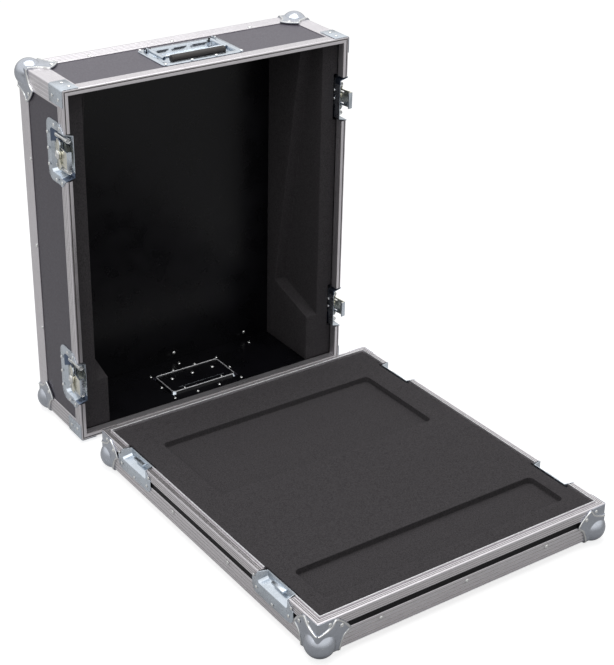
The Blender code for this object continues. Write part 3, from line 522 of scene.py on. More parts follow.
def foam_finish():
    """Closed-cell foam: a fine open-looking skin of cut cells with pale flecks."""
    look = Finish("foam")
    cell = look.cells(900)
    fleck = look.noise(1300, 2, 0.7)
    patch = look.noise(45, 4, 0.6)
    mottle = look.noise(430, 3, 0.75)
    ground = look.mixed(
        look.spread(mottle, 0.36, 0.64, 0.0, 1.0),
        look.shades(patch, (0.3, (0.024, 0.022, 0.024)), (0.7, (0.032, 0.029, 0.032))),
        (0.062, 0.057, 0.061),
    )
    tone = look.mixed(look.spread(fleck, 0.45, 0.75, 0.0, 1.0), ground, (0.10, 0.094, 0.099))
    look.set(Base_Color=tone, Roughness=0.93, Specular_IOR_Level=0.25)
    look.relief((cell, 0.45, 0.5 * mm), (fleck, 0.3, 0.3 * mm), (patch, 0.25, 1.5 * mm))
    return look.material


def rubber_finish():
    """The moulded grip: dark, fine-grained and slightly worn."""
    look = Finish("grip rubber")
    grain = look.noise(1600, 2, 0.6)
    worn = look.noise(90, 4, 0.65)
    look.set(
        Base_Color=look.shades(worn, (0.3, (0.018, 0.015, 0.015)), (0.75, (0.036, 0.031, 0.030))),
        Roughness=look.spread(worn, 0.3, 0.7, 0.38, 0.55),
    )
    look.relief((grain, 0.25, 0.1 * mm), (worn, 0.1, 0.4 * mm))
    return look.material


LAMINATE = laminate_finish(
    "charcoal laminate", (0.076, 0.068, 0.089), (0.122, 0.111, 0.140), rough=0.34, gloss=0.5
)
# The tray's boards: the cover's laminate darkened nearly to black, as painted shade between the tray's
# profiles
PAINTED_SHADE_TRAY_LAMINATE = laminate_finish(
    "laminate darkened as painted shade", (0.0035, 0.0035, 0.0045), (0.0065, 0.006, 0.0075), rough=0.5, gloss=0.2
)
FILM = film_finish("black film")
ALUMINIUM = {axis: aluminium_finish(axis) for axis in "XYZ"}
PLATED = steel_finish("plated steel", (0.64, 0.70, 0.77), 0.2)
CORNER_STEEL = steel_finish("corner steel", (0.52, 0.55, 0.61), 0.15)
# Plated steel darkened as painted shade, where the folded linkage shades a latch's dish and arm
PAINTED_SHADE_STEEL = steel_finish("steel in painted shade", (0.15, 0.19, 0.27), 0.24)
# Darker aluminium: painted shade down in the profiles' grooves
PAINTED_SHADE_IN_GROOVES = steel_finish("aluminium in painted groove shade", (0.30, 0.285, 0.285), 0.42)
YELLOWED = steel_finish("yellowish plated steel", (0.80, 0.79, 0.70), 0.16)
# Bright steel of the rivets and springs, and a painted highlight on the corners' rolled edges
BRIGHT_AND_PAINTED_HIGHLIGHT = steel_finish("bright plated steel and painted highlight", (0.78, 0.79, 0.79), 0.13)
# Pale, half-metal steel that stays bright whatever it reflects: a painted highlight on the rims' lips and
# the pans' beads
PAINTED_HIGHLIGHT_EDGE = steel_finish("rolled edge, painted highlight", (0.93, 0.94, 0.97), 0.22, metallic=0.4)
# Steel darkened as painted shade: the handles' coils stand for dark slits along each pan's far side, the
# washers for the dark eyes of the bail
PAINTED_SHADE_DARK_STEEL = steel_finish("steel darkened as painted shade", (0.05, 0.055, 0.07), 0.3)
FOAM = foam_finish()
RUBBER = rubber_finish()
# Black on the back of each handle's pan, and painted shade on the bail's eyes
BLACK_AND_PAINTED_SHADE = film_finish("black and painted shade")


def wears(piece, material):
    piece.data.materials.clear()
    piece.data.materials.append(material)
    return piece


def partly_wears(piece, material, test):
    """Adds a finish to a piece, on the faces whose middle and normal pass a test."""
    piece.data.materials.append(material)
    with shaping(piece):
        work = bmesh.from_edit_mesh(piece.data)
        for face in work.faces:
            face.select_set(bool(test(face.calc_center_median(), face.normal)))
        bmesh.update_edit_mesh(piece.data)
        piece.active_material_index = len(piece.data.materials) - 1
        bpy.ops.object.material_slot_assign()
    return piece


def inner_faces(piece, place, material, test):
    """Adds a finish to a piece, on the faces whose middle passes a test as seen from a place."""
    back = place.inverted()
    return partly_wears(piece, material, lambda middle, _: test(back @ middle))


def handed_in(piece, body, slot, *nodes):
    """Says what a finished piece moves with and stands for; the slot it would take its finish from is not
    used.
    """
    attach(piece, body)
    if nodes:
        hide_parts(*nodes)
    return piece


def handed_copy(model, place, name, body, slot, *nodes):
    """A copy of a model, set in at its place and handed in."""
    return handed_in(joined(name, copied(model, place)), body, slot, *nodes)


# Boards: laminate outside, black film inside; the tray's laminate is darkened as painted shade

def board(node_name, body, outside, home, size):
    """A board with its outer laminate, and film on the faces turned to the inside of its half."""
    margin = 5 * mm
    low, high = size

    def turned_in(spot):
        return all(low[axis] + margin < spot[axis] < high[axis] - margin for axis in range(3))

    piece = wears(from_solid(node_name, "board_" + node_name), outside)
    handed_in(inner_faces(piece, home, FILM, turned_in), body, "laminate", node_name)


def boards():
    far = 100 * mm
    cover_size = ((0, -far, 0), (WIDTH, COVER_DEPTH, LENGTH))
    tray_size = ((0, -LENGTH, 0), (WIDTH, 0, TRAY_HEIGHT + far))
    for name in ("end_panel", "wall_left", "wall_right", "wall_top", "wall_bottom"):
        board("cover_" + name, "cover", LAMINATE, COVER, cover_size)
    for name in ("tray_bottom_panel", "tray_wall"):
        # The tray's boards wear the laminate darkened as painted shade
        board(name, "tray", PAINTED_SHADE_TRAY_LAMINATE, TRAY, tray_size)


# Aluminium profiles

def shaded_in_grooves(bar, axis, test):
    """Gives a bar its finish, with painted shade on the faces down in its grooves."""
    wears(bar, ALUMINIUM[axis])
    return partly_wears(
        bar, PAINTED_SHADE_IN_GROOVES, lambda middle, way: abs(way.z) < 0.5 and test(middle.x / mm, middle.y / mm)
    )


def ribbed(start, end, count, deep, half=0.5 * mm):
    """Points along a leg's outer face, with fine V grooves spread over it."""
    points = []
    for step in range(count):
        at = start + (end - start) * (step + 0.5) / count
        points += [(at - half, 0), (at, deep), (at + half, 0)]
    return points


def angle_outline(leg, deep):
    """The section of an edge angle, its rounded outer corner at zero."""
    margin, lip = 1.5 * mm, 0.4 * mm
    side = ribbed(EDGE_RADIUS + margin, leg - margin, 4, deep) + [(leg - lip, 0), (leg, lip), (leg, PROFILE)]
    other = [(y, x) for x, y in reversed(side)]
    return other + arc((EDGE_RADIUS, EDGE_RADIUS), EDGE_RADIUS, 180, 270, 5) + side + [(PROFILE, PROFILE)]


def edge_bar(leg, length, deep, axis, shade_grooves=False):
    """An edge angle running up Z from its corner at zero; its grooves get painted shade where asked."""
    bar = smooth(drawn(angle_outline(leg, deep), length, "edge angle"), degrees=25)
    if shade_grooves:
        return shaded_in_grooves(bar, axis, lambda x, y: 0.05 < min(x, y) < 0.5 and 3.2 < max(x, y) < leg / mm - 0.5)
    return wears(bar, ALUMINIUM[axis])


def corners(ends):
    """The four places where two ends meet the two sides: key, X, place of the end, ways in from both."""
    return [
        (end + "_" + side, x, at, inwards, end_way)
        for end, at, end_way in ends
        for side, x, inwards in SIDES
    ]


def cover_edges():
    start, deep = BALL_IN, 0.3 * mm
    front, back = RIM_LEG + CLEAR, COVER_DEPTH
    upright = edge_bar(COVER_LEG, LENGTH - 2 * start, deep, "Z")
    level = edge_bar(COVER_LEG, WIDTH - 2 * start, deep, "X")
    runner = edge_bar(COVER_LEG, back - start - front, deep, "Y")
    lower = edge_bar(COVER_LEG, back - start - front, deep, "Y", shade_grooves=True)
    places = {}
    for side, x, inwards in SIDES:
        places["back_" + side] = (upright, laid(inwards, FRONT, UP, (x, back, start)))
    for end, z, inwards in LEVELS:
        places["back_" + end] = (level, laid(inwards, FRONT, RIGHT, (start, back, z)))
    for key, x, z, inwards, upwards in corners(LEVELS):
        bar = lower if upwards == UP else runner
        places[key] = (bar, laid(inwards, upwards, BACK, (x, front, z)))
    for key, (bar, place) in places.items():
        handed_copy(bar, COVER @ place, "edge_angle_cover_" + key, "cover", "aluminium", "cover_edge_" + key)
    put_away(upright, level, runner, lower)


def tray_edges():
    start, deep = BALL_IN, 0.45 * mm
    long_bar = edge_bar(TRAY_LEG, LENGTH - 2 * start, deep, "Y", shade_grooves=True)
    short_bar = edge_bar(TRAY_LEG, WIDTH - 2 * start, deep, "X", shade_grooves=True)
    bars = {}
    for end, y, inwards in TRAY_ENDS:
        bars[end] = copied(short_bar, TRAY @ laid(inwards, UP, RIGHT, (start, y, 0)))
    for side, x, inwards in SIDES:
        bars[side] = copied(long_bar, TRAY @ laid(inwards, UP, BACK, (x, start - LENGTH, 0)))
    for key, side in (("far", "right"), ("near", "left")):
        piece = joined("edge_angle_tray_" + key, bars[side], bars[key])
        handed_in(piece, "tray", "aluminium", "tray_edge_" + key)
    put_away(long_bar, short_bar)


def rim_side(leg, start, deep):
    """A rim's outer leg with its grooves, up to and round its outer corner."""
    side = [(y, x) for x, y in ribbed(start, leg - 1 * mm, 3, deep)]
    return [(0, leg)] + side[::-1] + arc((1 * mm, 1 * mm), 1 * mm, 180, 270, 4)


def cover_rim_outline():
    """The section of the cover's rim: X runs in from the outside, Y back from the face."""
    inner, inner_leg, seat, bend = 9.5 * mm, 14 * mm, 8.3 * mm, 0.9 * mm
    groove = [(2.2 * mm, 0), (2.4 * mm, 1.6 * mm), (3.8 * mm, 1.6 * mm), (4 * mm, 0)]
    return (
        rim_side(RIM_LEG, 3.5 * mm, 0.35 * mm) + groove + arc((inner - bend, bend), bend, 270, 360, 4)
        + [(inner, inner_leg), (seat, inner_leg), (seat, RIM_THICK)]
        + [(PROFILE, RIM_THICK), (PROFILE, RIM_LEG)]
    )


def tray_rim_outline():
    """The section of the tray's rim: X runs in from the outside, Y down from the face."""
    leg, inner_leg, inner, bend = 15 * mm, 12.5 * mm, 11.9 * mm, 0.9 * mm
    lip_out, lip_high = 10.1 * mm, 3 * mm
    ledge = ribbed(2.2 * mm, 7.8 * mm, 2, 0.8 * mm, 0.6 * mm)
    foot = [(lip_out - 0.6 * mm, 0), (lip_out, 0.4 * mm)]
    lip = arc((lip_out + bend, bend - lip_high), bend, 180, 360, 6)
    seat = inner - PROFILE
    return (
        rim_side(leg, 3 * mm, 0.4 * mm) + ledge + foot + lip
        + [(inner, inner_leg), (seat, inner_leg), (seat, RIM_THICK)]
        + [(PROFILE, RIM_THICK), (PROFILE, leg)]
    )


# The faces of a rim's section that get painted shade: down in its grooves and at the root of its lip
def in_rim_groove(x, y):
    side = 0.05 < x < 0.5 and y > 2
    face = 1.8 < x < 10 and 0.05 < y < 1.7
    return side or face


def rim_bar(outline, length, axis):
    """A rim running up Z, with painted shade in its grooves and a painted highlight on its rolled lip."""
    bar = shaded_in_grooves(smooth(drawn(outline, length, "rim"), degrees=25), axis, in_rim_groove)
    return partly_wears(bar, PAINTED_HIGHLIGHT_EDGE, lambda middle, way: abs(way.z) < 0.5 and middle.y < -2.2 * mm)


def rim_set(half, outline, home, ways, end_keys):
    """A rim round the opening of a half: two ends that fold round the corners, and two straight sides.

    Its ways are across the opening, from zero to WIDTH, in from its face, and along it, from zero to LENGTH.
    """
    across, depth, along = (Vector(way) for way in ways)
    long_bar = rim_bar(outline, LENGTH, "YZ"[abs(along.z) > 0.5])
    short_bar = rim_bar(outline, WIDTH, "X")
    fold_end, side_start = LATCH_PLACES[0] - LATCH_NOTCH, LATCH_PLACES[0] + LATCH_NOTCH

    def side_bar(x, out):
        return copied(long_bar, laid(across * -out, depth, along, across * x))

    def handed(key, *bars):
        piece = set_in(joined("rim_%s_%s" % (half, key), *bars), home)
        handed_in(smooth(piece, degrees=25), half, "aluminium", "%s_closing_%s" % (half, key))

    ends = (0, fold_end, along), (LENGTH, LENGTH - fold_end, -along)
    for key, (end, cut, inwards) in zip(end_keys, ends):
        bars = [copied(short_bar, laid(inwards, depth, across, along * end))]
        for x, out in FLANKS:
            corner = along * end + across * x
            sliced(bars[0], corner, (across * out + inwards).normalized())
            side = side_bar(x, out)
            sliced(side, corner, (across * -out - inwards).normalized())
            bars.append(sliced(side, along * cut, inwards))
        handed(key, *bars)
    for key, (x, out) in zip(("left", "right"), FLANKS):
        side = sliced(side_bar(x, out), along * side_start, -along)
        handed(key, sliced(side, along * (LENGTH - side_start), along))
    put_away(long_bar, short_bar)


# Ball corners and braces

def ear_edge():
    """The free edge of an ear, from one fold round to the other, seen square to its face."""
    waist = [(EAR_NECK, 2.5 * mm), (38.5 * mm, 9 * mm), (41 * mm, 17 * mm), (44.5 * mm, 23.5 * mm)]
    return waist + arc((0, 0), 62 * mm, 29.5, 60.5, 12) + [(y, x) for x, y in reversed(waist)]


def round_the_ear():
    """The outline of all that lies round an ear."""
    before, past = -8 * mm, 100 * mm
    start, end = (EAR_NECK, before), (before, EAR_NECK)
    return [start] + ear_edge() + [end, (before, past), (past, past), (past, before)]


def brace(start, end):
    """A sheet folded round an edge angle, from one height to another."""
    middle, inside = (EDGE_RADIUS, EDGE_RADIUS), EDGE_RADIUS + CLEAR
    outer = -CLEAR - BRACE_SHEET
    outline = (
        [(-CLEAR, BRACE_WIDE), (outer, BRACE_WIDE)] + arc(middle, inside + BRACE_SHEET, 180, 270, 5)
        + [(BRACE_WIDE, outer), (BRACE_WIDE, -CLEAR)] + arc(middle, inside, 270, 180, 5)
    )
    return softened(drawn(outline, end, "brace", start), 0.3 * mm, 2, 28)


def corner_piece(height=None):
    """Three ears folded from one sheet, with a ball pressed out over their corner and a rolled free edge,
    lighter than the sheet as a painted highlight.

    Where a height is given, the upright ears end there, in a brace round the upright edge.
    """
    outer = -CLEAR - CORNER_SHEET
    far = 80 * mm
    corner = block((outer,) * 3, (far,) * 3, EDGE_RADIUS + CLEAR + CORNER_SHEET)
    turns = (RIGHT, BACK, UP), (BACK, UP, RIGHT), (UP, RIGHT, BACK)
    for turn in turns:
        around = drawn(round_the_ear(), 2.5 * mm, "around", -8 * mm)
        boolean(corner, set_in(around, laid(*turn)), "DIFFERENCE")
    if height is not None:
        boolean(corner, block((-far, -far, height), (2 * far,) * 3), "DIFFERENCE")
    take()
    middle = (BALL_IN,) * 3
    bpy.ops.mesh.primitive_uv_sphere_add(segments=56, ring_count=28, radius=BALL_RADIUS, location=middle)
    ball = named("ball")
    fixed()
    boolean(corner, ball, "UNION")
    boolean(corner, block((-CLEAR,) * 3, (far + 30 * mm,) * 3, EDGE_RADIUS + CLEAR), "DIFFERENCE")
    softened(corner, 0.7 * mm, 3, 28)
    roll, sunk = 2 * mm, 0.8 * mm
    edge = []
    for x, y in [(EAR_NECK, -sunk)] + ear_edge() + [(-sunk, EAR_NECK)]:
        inward = 1 - roll / math.hypot(x, y)
        edge.append((x * inward, y * inward, outer + sunk))
    pieces = []
    for turn in turns:
        # The rolled edge wears brighter steel than its sheet: a painted highlight
        pieces.append(wears(set_in(bead(edge, roll, "rolled edge"), laid(*turn)), BRIGHT_AND_PAINTED_HIGHLIGHT))
        if height is not None:
            sliced(pieces[-1], (0, 0, height - roll), UP)
    if height is not None:
        pieces.insert(0, wears(brace(TRAY_LEG + 1 * mm, height), CORNER_STEEL))
    return smooth(joined("corner", *pieces, wears(corner, CORNER_STEEL)))


def rivet():
    """A pop rivet's head: a low dome on a thin flange, with the dimple of its stem."""
    radius, high = 3.4 * mm, 1.8 * mm
    take()
    bpy.ops.mesh.primitive_circle_add(vertices=14, radius=0.86 * radius, fill_type="NGON")
    head = named("rivet")
    steps = ((1.16, 0.2), (1.16, 0.34), (1.04, 0.54), (0.84, 0.8), (0.56, 0.97), (0.32, 1.0), (0.28, 0.88))
    with shaping(head):
        everything()
        size, level = 1.0, 0.0
        for wide, up in steps:
            pull(0, 0, (up - level) * high)
            bpy.ops.transform.resize(value=(wide / size, wide / size, 1))
            size, level = wide, up
        facing_out()
    return smooth(wears(head, BRIGHT_AND_PAINTED_HIGHLIGHT), degrees=40)


RIVET = rivet()


def rivets(name, body, home, places):
    """Rivet heads joined as one piece: each place is a point, the way its head faces and maybe a size."""
    heads = []
    for point, way, *size in places:
        turn = Vector(way).normalized().to_track_quat("Z", "Y").to_matrix().to_4x4()
        scale = Matrix.Scale(size[0] if size else 1.0, 4)
        heads.append(copied(RIVET, home @ Matrix.Translation(point) @ turn @ scale))
    return handed_in(joined(name, *heads), body, "steel")


def carried(spots, place):
    """Rivets' places, carried along with the sheet that they hold."""
    turn = place.to_3x3()
    return [(place @ Vector(point), turn @ Vector(way), *size) for point, way, *size in spots]


def ball_corners():
    plain = corner_piece()
    braced = corner_piece(TRAY_HEIGHT - CLEAR)
    ear, near, far = -CLEAR - CORNER_SHEET, 38 * mm, 40 * mm
    ear_rivets = [((far, near, ear), DOWN), ((near, ear, far), FRONT), ((ear, far, near), LEFT)]
    strap, across, up = -CLEAR - BRACE_SHEET, 19 * mm, 48 * mm
    strap_rivets = [((across, strap, up), FRONT, SMALL_RIVET), ((strap, across, up), LEFT, SMALL_RIVET)]
    for key, x, z, inwards, upwards in corners(LEVELS):
        place = laid(inwards, FRONT, upwards, (x, COVER_DEPTH, z))
        handed_copy(plain, COVER @ place, "ball_corner_cover_" + key, "cover", "steel", "cover_ball_" + key)
        rivets("rivets_ball_cover_" + key, "cover", COVER, carried(ear_rivets, place))
    for key, x, y, inwards, end_way in corners(TRAY_ENDS):
        place = laid(inwards, end_way, UP, (x, y, 0))
        handed_copy(braced, TRAY @ place, "ball_corner_tray_" + key, "tray", "steel", "tray_ball_" + key)
        rivets("rivets_ball_tray_" + key, "tray", TRAY, carried(ear_rivets + strap_rivets, place))
    put_away(plain, braced)


def braces():
    """The sheets folded round the cover's front corners."""
    sheet = wears(brace(0, BRACE_DEEP), PLATED)
    face = -CLEAR - BRACE_SHEET
    spots = []
    for across, along in ((17 * mm, 12 * mm), (15 * mm, 32 * mm)):
        spots.append(((across, face, along), FRONT, SMALL_RIVET))
        spots.append(((face, across, along), LEFT, SMALL_RIVET))
    for key, x, z, inwards, upwards in corners(LEVELS):
        place = laid(inwards, upwards, BACK, (x, 0, z))
        handed_copy(sheet, COVER @ place, "brace_cover_" + key, "cover", "steel", "cover_brace_" + key)
        rivets("rivets_brace_" + key, "cover", COVER, carried(spots, place))
    put_away(sheet)


# Pressed steel fittings

def pressed(kind, key, width, material, body):
    """A copy of a fitting's solid, its edges softened as a press leaves them."""
    piece = from_solid("%s_%s" % (kind, key), "%s_dressed_%s" % (kind, key))
    wears(softened(piece, width), material)
    return handed_in(piece, body, "steel", "%s_%s" % (kind, key))


LATCH_KEYS = ("left_bottom", "left_top", "right_bottom", "right_top")
KEEPER_KEYS = ("left_far", "left_near", "right_far", "right_near")
PIN = (9.5 * mm, 38 * mm, 0)
POST = (-6.3 * mm, -16 * mm, 0)

# How far the shade of the folded linkage reaches over a latch's dish
SHADE_ABOVE, SHADE_BELOW, SHADE_STEP, SHADE_IN = 13 * mm, -26 * mm, 14 * mm, 2.2 * mm


def latch_place(key):
    side, end = key.split("_")
    middle = LATCH_PLACES[0 if end == "bottom" else 1]
    turn = Matrix.Identity(4) if side == "left" else Matrix.Rotation(math.pi, 4, "Y")
    return COVER @ Matrix.Translation((0 if side == "left" else WIDTH, 0, middle)) @ turn


def latch_arm(key, place):
    """The arm with the two slots beside its post, and painted shade on its upper part by the pin."""
    arm = from_solid("latch_arm_" + key, "latch_arm_dressed_" + key)
    half = 1.2 * mm
    for middle in (-10 * mm, 10 * mm):
        slot = block((-12 * mm, -32 * mm, middle - half), (-1 * mm, -2 * mm, middle + half))
        boolean(arm, set_in(slot, place), "DIFFERENCE")
    wears(softened(arm, 0.35 * mm), YELLOWED)
    # Painted shade on the arm's upper part near its pin
    inner_faces(arm, place, PAINTED_SHADE_STEEL, lambda spot: spot.z > 8 * mm and spot.y > -40 * mm)
    inner_faces(arm, place, PLATED, lambda spot: spot.y < -44 * mm)
    handed_in(arm, "arm_" + key, "steel", "latch_arm_" + key)


def in_shade(spot):
    """Whether a spot of a latch's dish lies behind the folded linkage."""
    above = spot.z > SHADE_ABOVE and spot.y > SHADE_STEP
    below = spot.z < SHADE_BELOW and spot.y < SHADE_STEP
    return spot.x > SHADE_IN and (above or below)


def latches():
    spring = wears(coil(3.6 * mm, 0.9 * mm, 3 * mm, 13), BRIGHT_AND_PAINTED_HIGHLIGHT)
    shade_edges = ((0, 0, SHADE_ABOVE), UP), ((0, 0, SHADE_BELOW), UP), ((0, SHADE_STEP, 0), BACK)
    for key in LATCH_KEYS:
        place = latch_place(key)
        swung = place @ Matrix.Translation(PIN) @ Matrix.Rotation(-math.radians(8), 4, "Z")
        post = swung @ Matrix.Translation(POST)
        dish = scored(pressed("latch_dish", key, 0.45 * mm, PLATED, "cover"), place, *shade_edges)
        # Painted shade on the dish behind the folded linkage
        inner_faces(dish, place, PAINTED_SHADE_STEEL, in_shade)
        latch_arm(key, swung)
        wing = pressed("latch_wing", key, 0.5 * mm, YELLOWED, "wing_" + key)
        inner_faces(wing, post, PLATED, lambda spot: spot.z > 9 * mm)
        rivets("latch_hub_" + key, "wing_" + key, post, [((-2.3 * mm, 0, 0), LEFT, 2.3)])
        springs = [
            copied(spring, place @ laid(RIGHT, DOWN, BACK, (8 * mm, 5 * mm, level)))
            for level in (-25 * mm, 25 * mm)
        ]
        handed_in(joined("latch_springs_" + key, *springs), "cover", "steel")
    put_away(spring)
    for key in KEEPER_KEYS:
        pressed("keeper", key, 0.4 * mm, PLATED, "tray")


def fitting_rivets():
    """Rivets in the flanges and floors of the latch dishes, and in the flanges of the keepers."""
    proud, deep = CLEAR + 1.1 * mm, 14.4 * mm
    dish_spots, keeper_spots = [], []
    for middle in LATCH_PLACES:
        for x, out in FLANKS:
            face, floor_at = x + out * proud, x - out * deep
            for y, z in ((14, 44), (14, -44), (33, 44.5), (33, -44.5), (56.5, 26), (56.5, -26), (57, 0)):
                dish_spots.append(((face, y * mm, middle + z * mm), (out, 0, 0), SMALL_RIVET))
            for z in (13.5, -1):
                dish_spots.append(((floor_at, 16.5 * mm, middle + z * mm), (-out, 0, 0), SMALL_RIVET))
            for y, z in ((0, 22), (40, 28), (-40, 28), (46.5, 45), (-46.5, 45)):
                keeper_spots.append(((face, -middle + y * mm, z * mm), (out, 0, 0), SMALL_RIVET))
    rivets("rivets_latches", "cover", COVER, dish_spots)
    rivets("rivets_keepers", "tray", TRAY, keeper_spots)


def board_rivets():
    """Rivets along the edge angles."""
    spots = []
    for x, out in FLANKS:
        for z in (155, 305, 455):
            spots.append(((x, 127 * mm, z * mm), (out, 0, 0)))
    for x in (111, 260, 409):
        for z, way in ((0, DOWN), (LENGTH, UP)):
            spots.append(((x * mm, 128.5 * mm, z), way))
        for z in (21 * mm, LENGTH - 21 * mm):
            spots.append(((x * mm, COVER_DEPTH, z), BACK))
    for x in (260, 409):
        spots.append(((x * mm, 128.5 * mm, 8 * mm), UP))
        spots.append(((x * mm, 146 * mm, 21 * mm), FRONT))
    for x in (23 * mm, WIDTH - 23 * mm):
        for z in (155, 305, 455):
            spots.append(((x, COVER_DEPTH, z * mm), BACK))
    rivets("rivets_cover_edges", "cover", COVER, spots)
    spots = []
    for x in (105, 256, 406):
        for y, way in ((0, BACK), (-LENGTH, FRONT)):
            spots.append(((x * mm, y, 22 * mm), way))
    for y in (-224, -380):
        for x, out in FLANKS:
            spots.append(((x, y * mm, 22 * mm), (out, 0, 0)))
    rivets("rivets_tray_edges", "tray", TRAY, spots)


# Handles

HANDLE_HOMES = {
    "top": COVER @ laid(RIGHT, BACK, UP, (WIDTH / 2, HANDLE_PLACE, LENGTH)),
    "bottom": COVER @ laid(LEFT, BACK, DOWN, (WIDTH / 2, HANDLE_PLACE, 0)),
}


def stub(radius, length, middle, soft, material):
    """A short round bar along X."""
    take()
    bpy.ops.mesh.primitive_cylinder_add(
        vertices=20, radius=radius, depth=length, location=(middle, 0, 0), rotation=(0, math.pi / 2, 0)
    )
    fixed()
    return wears(softened(bpy.context.object, soft), material)


def bail():
    """The steel bail, swept from one stub round two bends to the other; its pivot lies on X."""
    reach, bend, half, past = BAIL_REACH, BAIL_BEND, BAIL_HALF, 3 * mm

    def bent(side):
        middle = (side * (half - bend), bend - reach, 0)
        bpy.ops.mesh.spin(steps=10, angle=-math.pi / 2, center=middle, axis=UP, dupli=False)

    take()
    bpy.ops.mesh.primitive_circle_add(
        vertices=20, radius=BAIL_RADIUS, fill_type="NGON",
        location=(half, past, 0), rotation=(math.pi / 2, 0, 0),
    )
    rod = named("bail")
    fixed()
    with shaping(rod):
        everything()
        pull(0, bend - reach - past, 0)
        bent(1)
        pull(2 * (bend - half), 0, 0)
        bent(-1)
        pull(0, reach - bend + past, 0)
        closed_up()
    parts = []
    length, inside = 9 * mm, 5 * mm
    for side in (-1, 1):
        middle = side * (half + BAIL_RADIUS + length / 2 - inside)
        parts.append(stub(2.2 * mm, length, middle, 0.4 * mm, PLATED))
        # The bail's eyes are black as painted shade
        parts.append(stub(3.3 * mm, 2 * BAIL_RADIUS, side * half, 0.5 * mm, BLACK_AND_PAINTED_SHADE))
    return smooth(joined("bail", *parts, wears(rod, PLATED)), degrees=40)


def washer():
    """A washer that lies flat on Z with a wide hole, dark as painted shade."""
    wide, thick = 1.75, 0.9 * mm
    take()
    bpy.ops.mesh.primitive_circle_add(vertices=24, radius=2.9 * mm, fill_type="NOTHING")
    ring = named("washer")
    with shaping(ring, "EDGE"):
        everything()
        for size, rise in ((wide, thick), (1 / wide, -thick)):
            bpy.ops.mesh.extrude_edges_move()
            bpy.ops.transform.resize(value=(size, size, 1))
            bpy.ops.mesh.extrude_edges_move()
            bpy.ops.transform.translate(value=(0, 0, rise))
        closed_up()
    return wears(softened(ring, 0.2 * mm), PAINTED_SHADE_DARK_STEEL)


def box_bead():
    """The rolled edge round the back of a handle's pan, pale as a painted highlight."""
    half_x, half_y, radius, middle, level = 62.6 * mm, 31.6 * mm, 5 * mm, 2.5 * mm, -10.9 * mm
    outline = []
    for x, y, start in ((1, 1, 0), (-1, 1, 90), (-1, -1, 180), (1, -1, 270)):
        corner = (x * (half_x - radius), middle + y * (half_y - radius))
        outline += [(*point, level) for point in arc(corner, radius, start, start + 90, 3)]
    return wears(bead(outline, 1.0 * mm, "box bead", closed=True), PAINTED_HIGHLIGHT_EDGE)


def grip():
    """The moulded grip: round, slightly waisted, with a bead at each end."""
    half, core, radius = GRIP_HALF / mm, 3.6, GRIP_RADIUS / mm
    take()
    bpy.ops.mesh.primitive_circle_add(
        vertices=32, radius=core * mm, fill_type="NGON",
        location=(-GRIP_HALF, -BAIL_REACH, 0), rotation=(0, math.pi / 2, 0),
    )
    sleeve = named("grip")
    fixed()
    steps = [
        (0, core), (0, radius - 1.2), (0.5, radius - 0.4), (1.5, radius), (4, radius), (4.6, radius - 0.35),
        (5.4, radius - 0.35), (6, radius), (20, radius - 0.1), (half, radius),
    ]
    steps += [(2 * half - x, wide) for x, wide in reversed(steps[:-1])]
    with shaping(sleeve):
        everything()
        for (x, wide), (next_x, next_wide) in zip(steps, steps[1:]):
            pull((next_x - x) * mm, 0, 0)
            size = next_wide / wide
            bpy.ops.transform.resize(value=(1, size, size), center_override=(0, -BAIL_REACH, 0))
        facing_out()
    return smooth(wears(sleeve, RUBBER), degrees=40)


def behind_pan(spot):
    """Whether a spot lies on the back of a handle's pan."""
    beside = abs(spot.x) > 64.4 * mm or not -31 * mm < spot.y < 36 * mm
    return spot.z < -10.3 * mm or (spot.z < -3 * mm and beside)


def facing(spots, level, way, *size):
    """Rivets' places at one level, from their X and Y in millimetres."""
    return [((x * mm, y * mm, level), way, *size) for x, y in spots]


